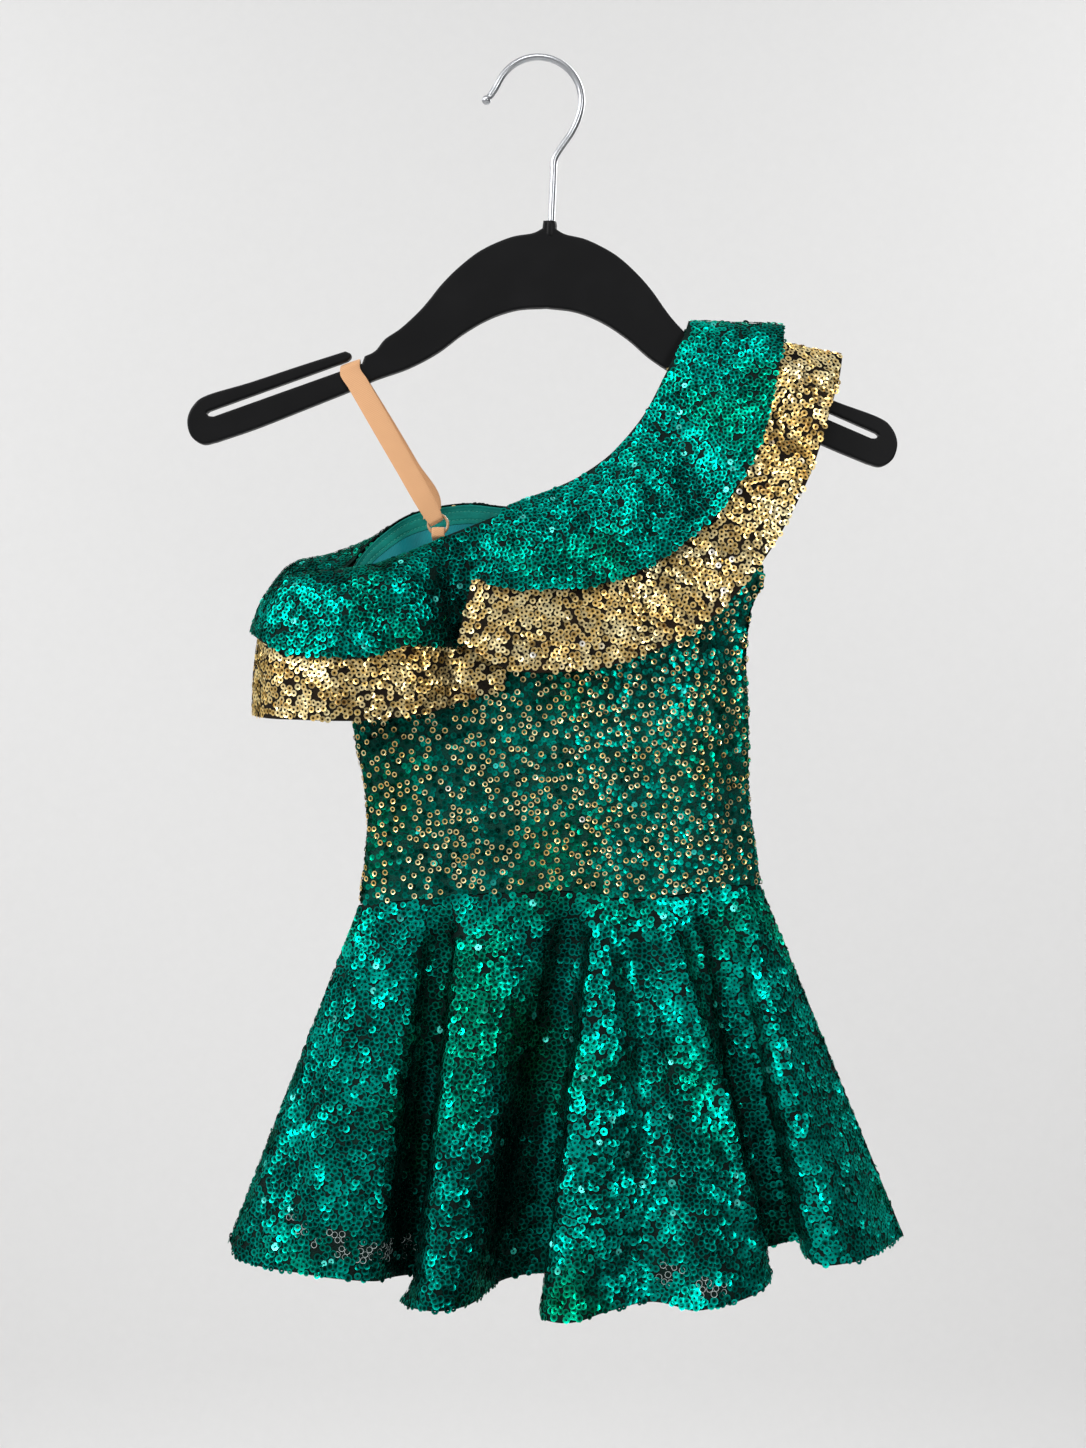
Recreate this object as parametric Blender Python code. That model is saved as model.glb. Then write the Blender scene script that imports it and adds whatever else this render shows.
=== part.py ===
"""A child's one-shoulder sequin dress, hung on its child's hanger.

Sizes are in millimetres here and MM turns them into metres.
X runs to the right of the dress as it is seen from the front, the front faces -Y and +Z is up.
The origin is the crown of the hanger's hook, where a rail holds it.
Each piece of cloth is a thin wall: an outer sheet worked out from short tables of sections and
folds, and an inner sheet the cloth's thickness behind it.
"""

import math

import bmesh
import bpy
import numpy as np

MM = 0.001

# Clearance where two pieces meet, half of it on each side of a seam
GAP = 0.3
HALF_GAP = GAP / 2
WAIST_GAP = 0.5

# Cloth thicknesses, with the sequins' height in them
BODICE_WALL = 1.6
SKIRT_WALL = 1.6
RUFFLE_WALL = 1.2
BINDING_WALL = 1.0
LINING_WALL = 1.0

# Bodice waist, an ellipse in plan
WAIST_LEFT = -86.5
WAIST_RIGHT = 107.0
WAIST_MIDDLE = (WAIST_LEFT + WAIST_RIGHT) / 2
WAIST_HALF = (WAIST_RIGHT - WAIST_LEFT) / 2
FRONT_DEPTH = 18.0
BACK_DEPTH = 16.0

# Height of the waist seam: x, z
WAIST_SEAM = (
    (-86.5, -404.0),
    (-68.0, -402.0),
    (-42.0, -399.0),
    (-8.0, -397.0),
    (18.0, -396.8),
    (34.0, -399.6),
    (54.0, -400.2),
    (72.0, -397.6),
    (90.0, -394.6),
    (107.0, -394.6),
)

# Neckline of the front, from the left side seam to the shoulder fold: share, x, y, z
SHOULDER = 0.80
FRONT_NECK = (
    (0.00, -92.6, 0.0, -247.7),
    (0.06, -91.6, -4.6, -247.9),
    (0.12, -87.5, -8.0, -247.2),
    (0.20, -76.0, -10.8, -244.6),
    (0.30, -58.0, -13.5, -237.2),
    (0.40, -33.0, -16.0, -226.2),
    (0.50, -6.0, -16.6, -214.6),
    (0.60, 22.0, -15.0, -201.0),
    (0.66, 38.1, -13.5, -187.4),
    (0.70, 51.0, -11.6, -170.6),
    (0.73, 60.0, -9.0, -153.0),
    (0.75, 66.0, -7.4, -140.6),
    (0.77, 70.0, -6.0, -133.6),
    (0.785, 71.0, -4.6, -129.8),
    (0.80, 71.5, 0.0, -127.9),
)

# Neckline of the back: share, x, y, z
BACK_NECK = (
    (0.00, -92.6, 0.0, -247.7),
    (0.06, -91.2, 4.4, -243.6),
    (0.12, -86.5, 7.6, -236.6),
    (0.20, -76.2, 10.6, -226.1),
    (0.30, -60.4, 13.4, -216.1),
    (0.40, -36.0, 15.0, -211.4),
    (0.50, -9.0, 15.4, -212.9),
    (0.60, 18.0, 14.6, -206.0),
    (0.66, 36.0, 13.0, -192.4),
    (0.70, 50.0, 11.2, -174.6),
    (0.73, 59.4, 8.8, -155.6),
    (0.75, 66.0, 7.4, -141.0),
    (0.77, 70.0, 6.0, -133.6),
    (0.785, 71.0, 4.6, -129.8),
    (0.80, 71.5, 0.0, -127.9),
)
SHOULDER_END = (97.4, 0.0, -139.5)

# Left side seam: share of its height, x, z
LEFT_SEAM = (
    (0.00, -86.5, -404.0),
    (0.28, -83.0, -360.0),
    (0.55, -89.8, -317.3),
    (0.78, -91.7, -282.0),
    (1.00, -92.6, -247.7),
)

# Right side seam up to the armhole, then the armhole: share, x, depth off the seam plane, z
RIGHT_SEAM = (
    (0.000, 107.0, 0.0, -394.6),
    (0.074, 104.2, 0.0, -375.8),
    (0.136, 101.8, 0.0, -360.0),
    (0.303, 101.0, 0.0, -317.3),
    (0.459, 100.3, 0.0, -277.4),
    (0.525, 103.0, 0.0, -260.6),
    (0.567, 108.5, 0.0, -250.0),
)
ARMHOLE = (
    (0.567, 108.5, 0.0, -250.0),
    (0.600, 106.0, 5.6, -241.5),
    (0.635, 102.9, 8.2, -232.6),
    (0.718, 98.3, 10.4, -211.5),
    (0.811, 96.0, 10.2, -187.6),
    (0.906, 95.7, 8.2, -163.5),
    (0.959, 96.4, 6.6, -150.0),
    (0.985, 97.0, 4.9, -142.6),
    (1.000, 97.4, 0.0, -139.5),
)
BODICE_ROWS = (0, 0.074, 0.136, 0.22, 0.303, 0.38, 0.459, 0.525, 0.567, 0.600, 0.635, 0.70,
               0.76, 0.82, 0.87, 0.916, 0.95, 0.97, 0.985, 1.0)
BODICE_COLUMNS = 20
SHOULDER_COLUMNS = (0.02, 0.77, 0.785)
SHOULDER_PULL_FROM = 0.55
SHOULDER_PULL_TO = 0.90
NECK_FADE = 3

# Skirt folds at the front, left to right: x at the waist, then x, y, z at the hem
FRONT_FOLDS = (
    (-86.5, -149.3, 0.0, -565.5),
    (-81.0, -140.4, -17.0, -571.4),
    (-69.0, -106.1, -34.0, -573.3),
    (-56.0, -74.4, -35.0, -576.4),
    (-46.0, -57.5, -10.0, -580.0),
    (-38.0, -65.0, -41.0, -583.0),
    (-25.0, -47.0, -60.0, -583.0),
    (-10.0, -30.0, -48.0, -582.2),
    (4.0, -14.5, -21.0, -580.0),
    (15.0, 9.5, -9.0, -579.4),
    (27.0, 1.0, -47.0, -587.6),
    (34.0, 16.0, -64.0, -586.6),
    (47.0, 49.0, -48.0, -582.0),
    (57.0, 71.0, -58.0, -582.8),
    (66.0, 96.0, -50.0, -579.4),
    (73.0, 108.5, -34.0, -575.0),
    (79.0, 106.5, -13.0, -566.0),
    (86.0, 123.0, -9.0, -564.0),
    (91.5, 122.5, -28.0, -566.0),
    (96.5, 131.5, -42.0, -567.0),
    (102.0, 153.0, -32.0, -566.0),
    (107.0, 175.7, 0.0, -563.1),
)

# Skirt folds at the back, left to right
BACK_FOLDS = (
    (-86.5, -149.3, 0.0, -565.5),
    (-80.0, -139.0, 15.0, -569.5),
    (-64.0, -103.0, 30.0, -572.5),
    (-48.0, -72.0, 16.0, -574.5),
    (-34.0, -50.0, 12.0, -575.5),
    (-18.0, -31.0, 36.0, -577.0),
    (0.0, -6.0, 38.0, -577.5),
    (15.0, 20.0, 14.0, -577.0),
    (30.0, 40.0, 13.0, -576.5),
    (46.0, 56.0, 38.0, -576.5),
    (60.0, 84.0, 38.0, -575.0),
    (74.0, 108.0, 13.0, -571.0),
    (86.0, 126.0, 14.0, -568.5),
    (98.0, 152.0, 28.0, -566.5),
    (107.0, 175.7, 0.0, -563.1),
)
FRONT_FOLD_STEPS = 3
BACK_FOLD_STEPS = 3
SKIRT_ROWS = 6

# Ruffle sections round the neck. A place is a share of a neckline: below 0 it is on the front,
# 0 is the left side seam, then it runs up the back to the shoulder and down the front again.
# Place, then x, y, z of the gold hem, then the crest over which the cloth falls: its share of
# the way out, its lift above the seam, its swell off the body, how firmly the cloth keeps to
# it, and how far the section stands off to lap over the next
RUFFLE_SECTIONS = (
    (-0.500, -16.0, -21.0, -301.7, 0.90, -22.0, 0.0, 1.0, 0.0),
    (-0.450, -25.0, -21.5, -303.6, 0.90, -20.0, 0.0, 1.0, 0.0),
    (-0.400, -38.0, -23.0, -308.0, 0.90, -16.0, 0.0, 1.0, 0.0),
    (-0.340, -48.0, -29.0, -311.8, 1.00, -4.0, 2.0, 1.2, 0.0),
    (-0.270, -61.0, -35.0, -314.0, 1.00, 1.0, 2.0, 1.6, 0.0),
    (-0.200, -75.0, -38.0, -316.0, 1.00, 2.0, 2.0, 1.9, 0.0),
    (-0.130, -93.0, -39.0, -316.4, 1.02, 2.0, 0.0, 2.2, 0.0),
    (-0.080, -110.0, -36.0, -315.9, 1.04, 2.0, 0.0, 2.4, 0.0),
    (-0.040, -127.0, -26.0, -315.2, 1.06, 1.0, 0.0, 2.4, 0.0),
    (0.000, -138.0, 0.0, -313.0, 1.00, -7.0, 0.0, 1.6, 0.0),
    (0.040, -129.0, 24.0, -309.0, 1.06, 11.0, 0.0, 2.2, 0.0),
    (0.080, -114.0, 33.0, -306.0, 1.04, 11.0, 0.0, 2.2, 0.0),
    (0.140, -94.0, 37.0, -302.0, 1.00, 8.0, 0.0, 2.0, 0.0),
    (0.220, -66.0, 34.0, -298.0, 0.90, 2.0, 0.0, 1.4, 0.0),
    (0.300, -40.0, 39.0, -294.0, 0.80, -5.0, 4.0, 1.0, 0.0),
    (0.380, -9.0, 38.0, -291.0, 0.70, -11.0, 7.0, 1.0, 0.0),
    (0.440, 16.0, 33.0, -288.0, 0.60, -14.0, 7.0, 1.0, 0.0),
    (0.510, 45.0, 35.0, -281.0, 0.60, -14.0, 9.0, 1.0, 0.0),
    (0.580, 74.0, 33.0, -267.0, 0.60, -14.0, 9.0, 1.0, 0.0),
    (0.645, 99.0, 31.0, -246.0, 0.60, -14.0, 9.0, 1.0, 0.0),
    (0.695, 118.0, 28.0, -217.0, 0.60, -12.0, 8.0, 1.0, 0.0),
    (0.735, 132.0, 23.0, -186.0, 0.60, -8.0, 6.0, 1.0, 0.0),
    (0.770, 141.0, 14.0, -158.0, 0.60, -8.0, 3.0, 1.0, 0.0),
    (0.800, 145.4, 0.0, -140.0, 0.60, -8.0, 0.0, 1.0, 0.0),
    (0.830, 143.0, -10.0, -153.0, 0.60, -8.0, 3.0, 1.0, 0.0),
    (0.860, 138.4, -15.0, -167.6, 0.60, -6.0, 5.0, 1.0, 0.0),
    (0.890, 131.3, -21.0, -191.0, 0.60, -9.0, 6.0, 1.0, 0.0),
    (0.920, 121.5, -26.0, -213.0, 0.60, -11.0, 7.0, 1.0, 0.0),
    (0.970, 101.1, -31.0, -246.3, 0.60, -13.0, 8.0, 1.0, 0.5),
    (1.010, 78.6, -33.0, -269.9, 0.60, -14.0, 9.0, 1.0, 1.0),
    (1.055, 49.3, -34.0, -285.3, 0.60, -14.0, 9.0, 1.0, 2.0),
    (1.090, 17.5, -34.0, -293.2, 0.60, -14.0, 9.0, 1.0, 3.2),
    (1.105, -6.8, -34.0, -293.6, 0.60, -14.0, 9.0, 1.0, 4.0),
    (1.118, -23.0, -33.0, -289.0, 0.60, -14.0, 9.0, 1.0, 4.4),
    (1.130, -37.7, -30.0, -278.6, 0.60, -14.0, 9.0, 1.0, 4.6),
)
RUFFLE_JOIN = 0.440
RUFFLE_JOIN_GAP = 0.0006
SIDE_STEPS = 2
SHOULDER_STEPS = 3
RUFFLE_ROWS = 7
RUFFLE_PROBE = 0.002

# The gold layer's clearance off the bodice at the seam, and the green layer over it:
# place, width as a share of the gold's, stand-off at the seam, stand-off at the hem
GOLD_STAND = 2.8
SHOULDER_SETTLE = 0.2
GREEN_LAYER = (
    (-0.500, 0.74, 1.8, 2.4),
    (-0.400, 0.78, 1.8, 3.0),
    (-0.270, 0.82, 1.8, 4.0),
    (-0.130, 0.87, 1.8, 4.5),
    (-0.040, 0.82, 1.8, 4.5),
    (0.000, 0.66, 1.8, 4.5),
    (0.040, 0.80, 1.8, 4.5),
    (0.140, 0.84, 1.8, 4.5),
    (0.300, 0.68, 1.8, 5.0),
    (0.440, 0.64, 1.8, 6.0),
    (0.700, 0.63, 1.8, 7.0),
    (0.760, 0.58, 1.8, 7.5),
    (0.800, 0.54, 1.8, 8.5),
    (0.840, 0.57, 1.8, 7.5),
    (0.900, 0.64, 1.8, 6.5),
    (1.010, 0.67, 1.8, 5.0),
    (1.055, 0.69, 1.8, 5.0),
    (1.130, 0.66, 1.8, 4.0),
)

# Binding and lining inside the back neck
BINDING_WIDTH = 9.0
BINDING_ACROSS = (0.06, 0.76)
BINDING_ROWS = 3
LINING_ACROSS = (0.12, 0.72)
LINING_CLEARANCE = 2.0
LINING_STAND = 0.8
LINING_ROWS = 6

# Hanger, seen square on before it is tilted: its axis, thickness and tilt
HANGER_AXIS = 7.5
HANGER_HALF_THICKNESS = 3.0
HANGER_BEVEL = 1.1
HANGER_TILT = math.radians(1.9)

# Half of the hanger's outline, from the socket round the arm and back under it, as smooth
# stretches that meet at corners: distance from the axis, height
HANGER_STRETCHES = (
    ((2.9, -76.5), (3.2, -80.2)),
    ((3.2, -80.2), (8.0, -82.7), (18.5, -85.0), (32.0, -91.5), (42.5, -100.0), (50.5, -108.5),
     (56.5, -116.5), (61.5, -122.5), (69.7, -130.5), (76.8, -135.7), (81.3, -141.5),
     (86.3, -144.3)),
    ((86.3, -144.3), (87.4, -147.8)),
    ((87.4, -147.8), (157.6, -175.5)),
    ((157.6, -175.5), (160.0, -175.3), (160.9, -174.0), (159.9, -172.9)),
    ((159.9, -172.9), (94.5, -146.8)),
    ((94.5, -146.8), (92.9, -145.2), (92.9, -143.4), (95.6, -142.2)),
    ((95.6, -142.2), (118.0, -150.2), (141.0, -158.7), (160.8, -165.3), (167.4, -170.3),
     (170.2, -177.6), (168.2, -185.2), (162.5, -188.9), (156.0, -187.6)),
    ((156.0, -187.6), (136.5, -180.2), (113.0, -170.0), (91.2, -160.4), (80.8, -155.3),
     (64.8, -149.0), (51.0, -141.0), (39.5, -131.8), (27.0, -124.1), (14.0, -119.4),
     (0.0, -118.0)),
)
HANGER_STRETCH_STEPS = 2

# Hook of round wire, bent in the hanger's plane: x, z along its middle
HOOK_RADIUS = 1.65
HOOK_SIDES = 10
HOOK_ARC_CENTRE = (-0.4, -18.4)
HOOK_ARC_RADIUS = 20.8
HOOK_ARC_FROM = math.radians(152.0)
HOOK_ARC_TO = math.radians(-14.0)
HOOK_ARC_STEPS = 18
HOOK_TIP = (-24.4, -17.6)
HOOK_TIP_RADIUS = 2.1
HOOK_NECK = (
    (15.2, -34.4),
    (9.4, -43.4),
    (7.4, -48.2),
    (7.0, -53.0),
)
HOOK_FOOT_CLEARANCE = GAP

# Shoulder strap of flat elastic
STRAP_WIDTH = 10.0
STRAP_WALL = 1.0
STRAP_BAR_PLACE = -93.0
STRAP_BAR_TOP = -150.3
STRAP_CROWN = 1.0
STRAP_TURN_STEPS = 6
STRAP_END_WIDTH = 6.4
STRAP_BACK_SHARE = 0.33
STRAP_BACK_OVERLAP = 8.0
STRAP_BACK_BOW = 2.5

# Ring and tab that join the strap to the front neck
RING_CENTRE = (-47.6, -16.2, -223.5)
RING_RADIUS = 4.6
RING_WIRE = 0.7
RING_SEGMENTS = 24
RING_SIDES = 6
TAB_WIDTH_TOP = 6.0
TAB_WIDTH_BOTTOM = 9.0
TAB_WALL = 0.8
TAB_SHARE = 0.352
TAB_TUCK = 5.0


def spline(rows, at):
    """Smooth values at the given places through rows of (place, value, value, ...)."""
    rows = np.array(rows, dtype=float)
    place = rows[:, 0]
    value = rows[:, 1:]
    step = np.diff(place)
    slope = np.diff(value, axis=0) / step[:, None]
    tangent = np.empty_like(value)
    tangent[0] = slope[0]
    tangent[-1] = slope[-1]
    weight = (step[1:] / (step[1:] + step[:-1]))[:, None]
    tangent[1:-1] = slope[:-1] * weight + slope[1:] * (1 - weight)
    at = np.clip(np.asarray(at, dtype=float), place[0], place[-1])
    index = np.clip(np.searchsorted(place, at, side="right") - 1, 0, len(step) - 1)
    width = step[index][:, None]
    share = ((at - place[index]) / step[index])[:, None]
    rise = share * share * (3 - 2 * share)
    start_pull = share * (1 - share) ** 2 * width
    end_pull = share * share * (share - 1) * width
    return (value[index] * (1 - rise) + value[index + 1] * rise
            + tangent[index] * start_pull + tangent[index + 1] * end_pull)


def unit(vectors):
    """The vectors at length one."""
    return vectors / np.maximum(np.linalg.norm(vectors, axis=-1, keepdims=True), 1e-9)


def sheet_normals(sheet):
    """Normals of a grid of points, rows by columns."""
    down = np.gradient(sheet, axis=0)
    across = np.gradient(sheet, axis=1)
    return unit(np.cross(across, down))


def new_object(name, points, faces, material):
    """A mesh object in metres, with its faces turned outwards."""
    points = np.asarray(points) * MM
    volume = 0.0
    for face in faces:
        for corner in range(1, len(face) - 1):
            a, b, c = points[face[0]], points[face[corner]], points[face[corner + 1]]
            volume += float(np.dot(a, np.cross(b, c)))
    if volume < 0:
        faces = [tuple(reversed(face)) for face in faces]
    mesh = bpy.data.meshes.new(name)
    mesh.from_pydata([tuple(point) for point in points], [], faces)
    mesh.update()
    mesh.materials.append(material)
    mesh.shade_smooth()
    mesh.set_sharp_from_angle(angle=math.radians(40))
    item = bpy.data.objects.new(name, mesh)
    bpy.context.collection.objects.link(item)
    return item


def wall(name, outer, inner, material):
    """A closed wall between two grids of the same size."""
    rows, columns = outer.shape[:2]
    points = np.concatenate([outer.reshape(-1, 3), inner.reshape(-1, 3)])
    behind = rows * columns

    def spot(row, column):
        return row * columns + column

    faces = []
    for row in range(rows - 1):
        for column in range(columns - 1):
            a, b = spot(row, column), spot(row, column + 1)
            c, d = spot(row + 1, column + 1), spot(row + 1, column)
            faces += [(a, b, c), (a, c, d)]
            faces += [(behind + c, behind + b, behind + a), (behind + d, behind + c, behind + a)]
    rim = [spot(0, column) for column in range(columns)]
    rim += [spot(row, columns - 1) for row in range(1, rows)]
    rim += [spot(rows - 1, column) for column in range(columns - 2, -1, -1)]
    rim += [spot(row, 0) for row in range(rows - 2, 0, -1)]
    for here, there in zip(rim, rim[1:] + rim[:1]):
        faces += [(there, here, behind + here), (there, behind + here, behind + there)]
    return new_object(name, points, faces, material)


def finish(name, colour, roughness, metallic):
    """A plain material."""
    material = bpy.data.materials.new(name)
    material.use_nodes = True
    shader = material.node_tree.nodes["Principled BSDF"]
    shader.inputs["Base Color"].default_value = (*colour, 1.0)
    shader.inputs["Roughness"].default_value = roughness
    shader.inputs["Metallic"].default_value = metallic
    material.diffuse_color = (*colour, 1.0)
    return material


def waist_height(x):
    """Height of the waist seam at the given x."""
    return spline(WAIST_SEAM, x)[:, 0]


def waist_ring(x, side):
    """The waist seam's points at the given x, at the front (-1) or the back (+1)."""
    depth = FRONT_DEPTH if side < 0 else BACK_DEPTH
    across = (x - WAIST_MIDDLE) / WAIST_HALF
    y = side * np.maximum(depth * np.sqrt(np.maximum(1 - across ** 2, 0)), HALF_GAP)
    return np.stack([x, y, waist_height(x)], axis=-1)


def neck_points(table, side, at):
    """Points of a neckline, kept on their own side of the seam plane."""
    points = spline(table, at)
    points[:, 1] = side * np.maximum(side * points[:, 1], HALF_GAP)
    return points


def bodice_sheet(side, rows, columns):
    """Outer sheet of the front (-1) or back (+1) bodice at the given shares up and across."""
    neck = FRONT_NECK if side < 0 else BACK_NECK
    lean = (1 - np.cos(np.pi * columns)) / 2
    bottom = waist_ring(WAIST_MIDDLE - WAIST_HALF * np.cos(np.pi * columns), side)
    top = neck_points(neck, side, np.minimum(columns, SHOULDER))
    past = np.clip((columns - SHOULDER) / (1 - SHOULDER), 0, 1)[:, None]
    top = top + (np.array(SHOULDER_END) * (1, 0, 1) + (0, side * HALF_GAP, 0) - top) * past

    left = spline(LEFT_SEAM, rows)
    left = np.stack([left[:, 0], np.full(len(rows), side * HALF_GAP), left[:, 1]], axis=-1)
    armhole_foot = ARMHOLE[0][0]
    seam = spline(RIGHT_SEAM, rows)
    armhole = spline(ARMHOLE, rows)
    right = np.where((rows <= armhole_foot)[:, None], seam, armhole)
    right[:, 1] = side * np.maximum(right[:, 1], HALF_GAP)

    v = rows[:, None, None]
    u = lean[None, :, None]
    corners = ((1 - u) * (1 - v) * bottom[0] + u * (1 - v) * bottom[-1]
               + (1 - u) * v * top[0] + u * v * top[-1])
    sheet = (1 - v) * bottom + v * top + (1 - u) * left[:, None] + u * right[:, None] - corners
    reach = np.clip((u[..., 0] - SHOULDER_PULL_FROM) / (SHOULDER_PULL_TO - SHOULDER_PULL_FROM), 0, 1)
    pull = reach * reach * (3 - 2 * reach)
    rise = v[..., 0] ** NECK_FADE
    depth = (1 - rise) * bottom[:, 1] + rise * top[:, 1]
    sheet[..., 1] = side * np.hypot(depth, pull * right[:, None, 1])
    sheet[..., 1] = side * np.maximum(side * sheet[..., 1], HALF_GAP)
    return sheet


def seam_side_normals(sheet, side):
    """Outward normals of a front or back sheet, level where the sheet ends at a side seam."""
    normals = sheet_normals(sheet)
    if normals[0, sheet.shape[1] // 2, 1] * side < 0:
        normals = -normals
    on_seam = np.abs(sheet[..., 1]) <= HALF_GAP + 0.01
    normals[on_seam, 1] = 0
    return unit(normals)


def inner_sheet(sheet, normals, side, thickness):
    """The inner sheet of a wall, kept on its own side of the seam plane."""
    inner = sheet - normals * thickness
    inner[..., 1] = side * np.maximum(side * inner[..., 1], HALF_GAP)
    return inner


def level_edge(normals, row):
    """Levels one row of normals, so that the wall's edge there is cut square."""
    normals[row, :, 2] = 0
    normals[row] = unit(normals[row])


def bodice_shares():
    """Shares up and across at which the bodice panels are shaped."""
    columns = np.linspace(0, 1, BODICE_COLUMNS + 1)
    columns = np.sort(np.concatenate([columns, SHOULDER_COLUMNS]))
    return np.array(BODICE_ROWS, dtype=float), columns


def bodice(name, side, material):
    """Front or back bodice panel."""
    sheet = bodice_sheet(side, *bodice_shares())
    normals = seam_side_normals(sheet, side)
    level_edge(normals, 0)
    return wall(name, sheet, inner_sheet(sheet, normals, side, BODICE_WALL), material)


def back_inside(name, across, drops, stand, thickness, material):
    """A thin wall inside the back bodice, on its own lines, at drops measured below the neck."""
    rows, columns = bodice_shares()
    kept = (columns > across[0]) & (columns < across[1])
    sheet = bodice_sheet(1, rows, columns)
    normals = seam_side_normals(sheet, 1)[::-1, kept]
    sheet = sheet[::-1, kept]
    near = sheet - normals * (BODICE_WALL + stand)
    far = near - normals * thickness
    walls = []
    for layer in (near, far):
        lines = []
        for column in range(sheet.shape[1]):
            steps = np.linalg.norm(np.diff(sheet[:, column], axis=0), axis=1)
            run = np.concatenate([[0], np.cumsum(steps)])
            at = drops(run[-1])
            lines.append([[np.interp(drop, run, layer[:, column, axis]) for axis in range(3)]
                          for drop in at])
        walls.append(np.array(lines).transpose(1, 0, 2))
    return wall(name, walls[0], walls[1], material)


def skirt(name, side, folds, steps, material):
    """Front or back skirt panel: straight lines from the waist seam to a folded hem."""
    places = np.arange(len(folds), dtype=float)
    table = np.column_stack([places, np.array(folds)])
    at = np.linspace(0, len(folds) - 1, (len(folds) - 1) * steps + 1)
    values = spline(table, at)
    top = waist_ring(np.clip(values[:, 0], WAIST_LEFT, WAIST_RIGHT), side)
    top[:, 2] -= WAIST_GAP
    hem = values[:, 1:4]
    hem[:, 1] = side * np.maximum(side * hem[:, 1], HALF_GAP)
    share = np.linspace(0, 1, SKIRT_ROWS)[:, None, None]
    sheet = top[None] * (1 - share) + hem[None] * share
    sheet[..., 1] = side * np.maximum(side * sheet[..., 1], HALF_GAP)
    normals = seam_side_normals(sheet, side)
    level_edge(normals, 0)
    return wall(name, sheet, inner_sheet(sheet, normals, side, SKIRT_WALL), material)


def neck_place(place):
    """Neckline point, outward direction and share of the shoulder's turn at a place."""
    if place > SHOULDER:
        place = place - 2 * SHOULDER
    table, side = (FRONT_NECK, -1) if place < 0 else (BACK_NECK, 1)
    point = spline(table, [abs(place)])[0]
    over_top = max(0.0, (abs(place) / SHOULDER - 0.93) / 0.07)
    off_side = max(0.0, 1 - abs(place) / 0.1)
    out = np.array([-off_side, side * (1 - max(over_top, off_side)), 0.3 + 1.2 * over_top])
    return point, out / np.linalg.norm(out), over_top


def gold_points(at, shares):
    """Gold ruffle's outer points: each section rises from the neck to its crest and falls."""
    values = spline(RUFFLE_SECTIONS, at)
    points = np.empty((len(shares), len(at), 3))
    for column, place in enumerate(at):
        start, out, over_top = neck_place(place)
        hem = values[column, 0:3]
        crest_share, lift, swell, firmness, lap = values[column, 3:8]
        side = -1.0 if hem[1] < 0 else 1.0
        start = start + out * (GOLD_STAND - SHOULDER_SETTLE * over_top + lap)
        crest = start + (hem - start) * (crest_share, crest_share, 0)
        crest = crest + (0, side * swell, lift)
        w = shares[:, None] if shares.ndim == 1 else shares[:, column:column + 1]
        pull = 2 * w * (1 - w) * firmness
        total = (1 - w) ** 2 + pull + w * w
        points[:, column] = ((1 - w) ** 2 * start + pull * crest + w * w * hem) / total
    return points


def green_points(at, shares):
    """Green ruffle's outer points: the gold's own points, narrower and moved out."""
    width, near, far = spline(GREEN_LAYER, at).T
    under = shares[:, None] * width if shares.ndim == 1 else shares * width
    stand = near + (far - near) * (under / width)
    return gold_points(at, under) + probed_normals(gold_points, at, under) * stand[..., None]


def probed_normals(shape, at, shares):
    """Outward normals of a ruffle's shape, from points close by on each side."""
    spread = shares if shares.ndim == 2 else np.repeat(shares[:, None], len(at), axis=1)
    across = shape(at + RUFFLE_PROBE, spread) - shape(at - RUFFLE_PROBE, spread)
    low = np.maximum(spread - RUFFLE_PROBE, 0)
    high = np.minimum(spread + RUFFLE_PROBE, 1)
    down = shape(at, high) - shape(at, low)
    return unit(np.cross(across, down))


def ruffle(name, shape, at, material):
    """One layer of ruffle between the given places."""
    shares = np.linspace(0, 1, RUFFLE_ROWS)
    sheet = shape(at, shares)
    normals = probed_normals(shape, at, shares)
    return wall(name, sheet, sheet - normals * RUFFLE_WALL, material)


def ruffle_places(first, last, steps):
    """Places from one section to another, with even steps between the sections."""
    marks = [row[0] for row in RUFFLE_SECTIONS if first < row[0] < last]
    marks = [first] + marks + [last]
    places = [here + (there - here) * step / steps
              for here, there in zip(marks, marks[1:]) for step in range(steps)]
    return np.array(places + [last])


def ruffles(gold, green):
    """Both layers, each in a side length and a shoulder length."""
    first = RUFFLE_SECTIONS[0][0]
    last = RUFFLE_SECTIONS[-1][0]
    side = ruffle_places(first, RUFFLE_JOIN - RUFFLE_JOIN_GAP, SIDE_STEPS)
    shoulder = ruffle_places(RUFFLE_JOIN + RUFFLE_JOIN_GAP, last, SHOULDER_STEPS)
    for part, at in (("side", side), ("shoulder", shoulder)):
        ruffle("ruffle_gold_" + part, gold_points, at, gold)
        ruffle("ruffle_green_" + part, green_points, at, green)


def tilt(x, z):
    """A point of the hanger's plane, turned about the hook's crown to the hanger's tilt."""
    turned_x = x * math.cos(HANGER_TILT) + z * math.sin(HANGER_TILT)
    turned_z = -x * math.sin(HANGER_TILT) + z * math.cos(HANGER_TILT)
    return turned_x, turned_z


def hanger_half():
    """Points of the hanger's half outline, each smooth stretch through its own points."""
    half = [HANGER_STRETCHES[0][0]]
    for stretch in HANGER_STRETCHES:
        spots = np.arange(len(stretch), dtype=float)
        steps = HANGER_STRETCH_STEPS if len(stretch) > 2 else 1
        at = np.linspace(0, len(stretch) - 1, (len(stretch) - 1) * steps + 1)
        half += [tuple(point) for point in spline(np.column_stack([spots, stretch]), at)[1:]]
    return half


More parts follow.
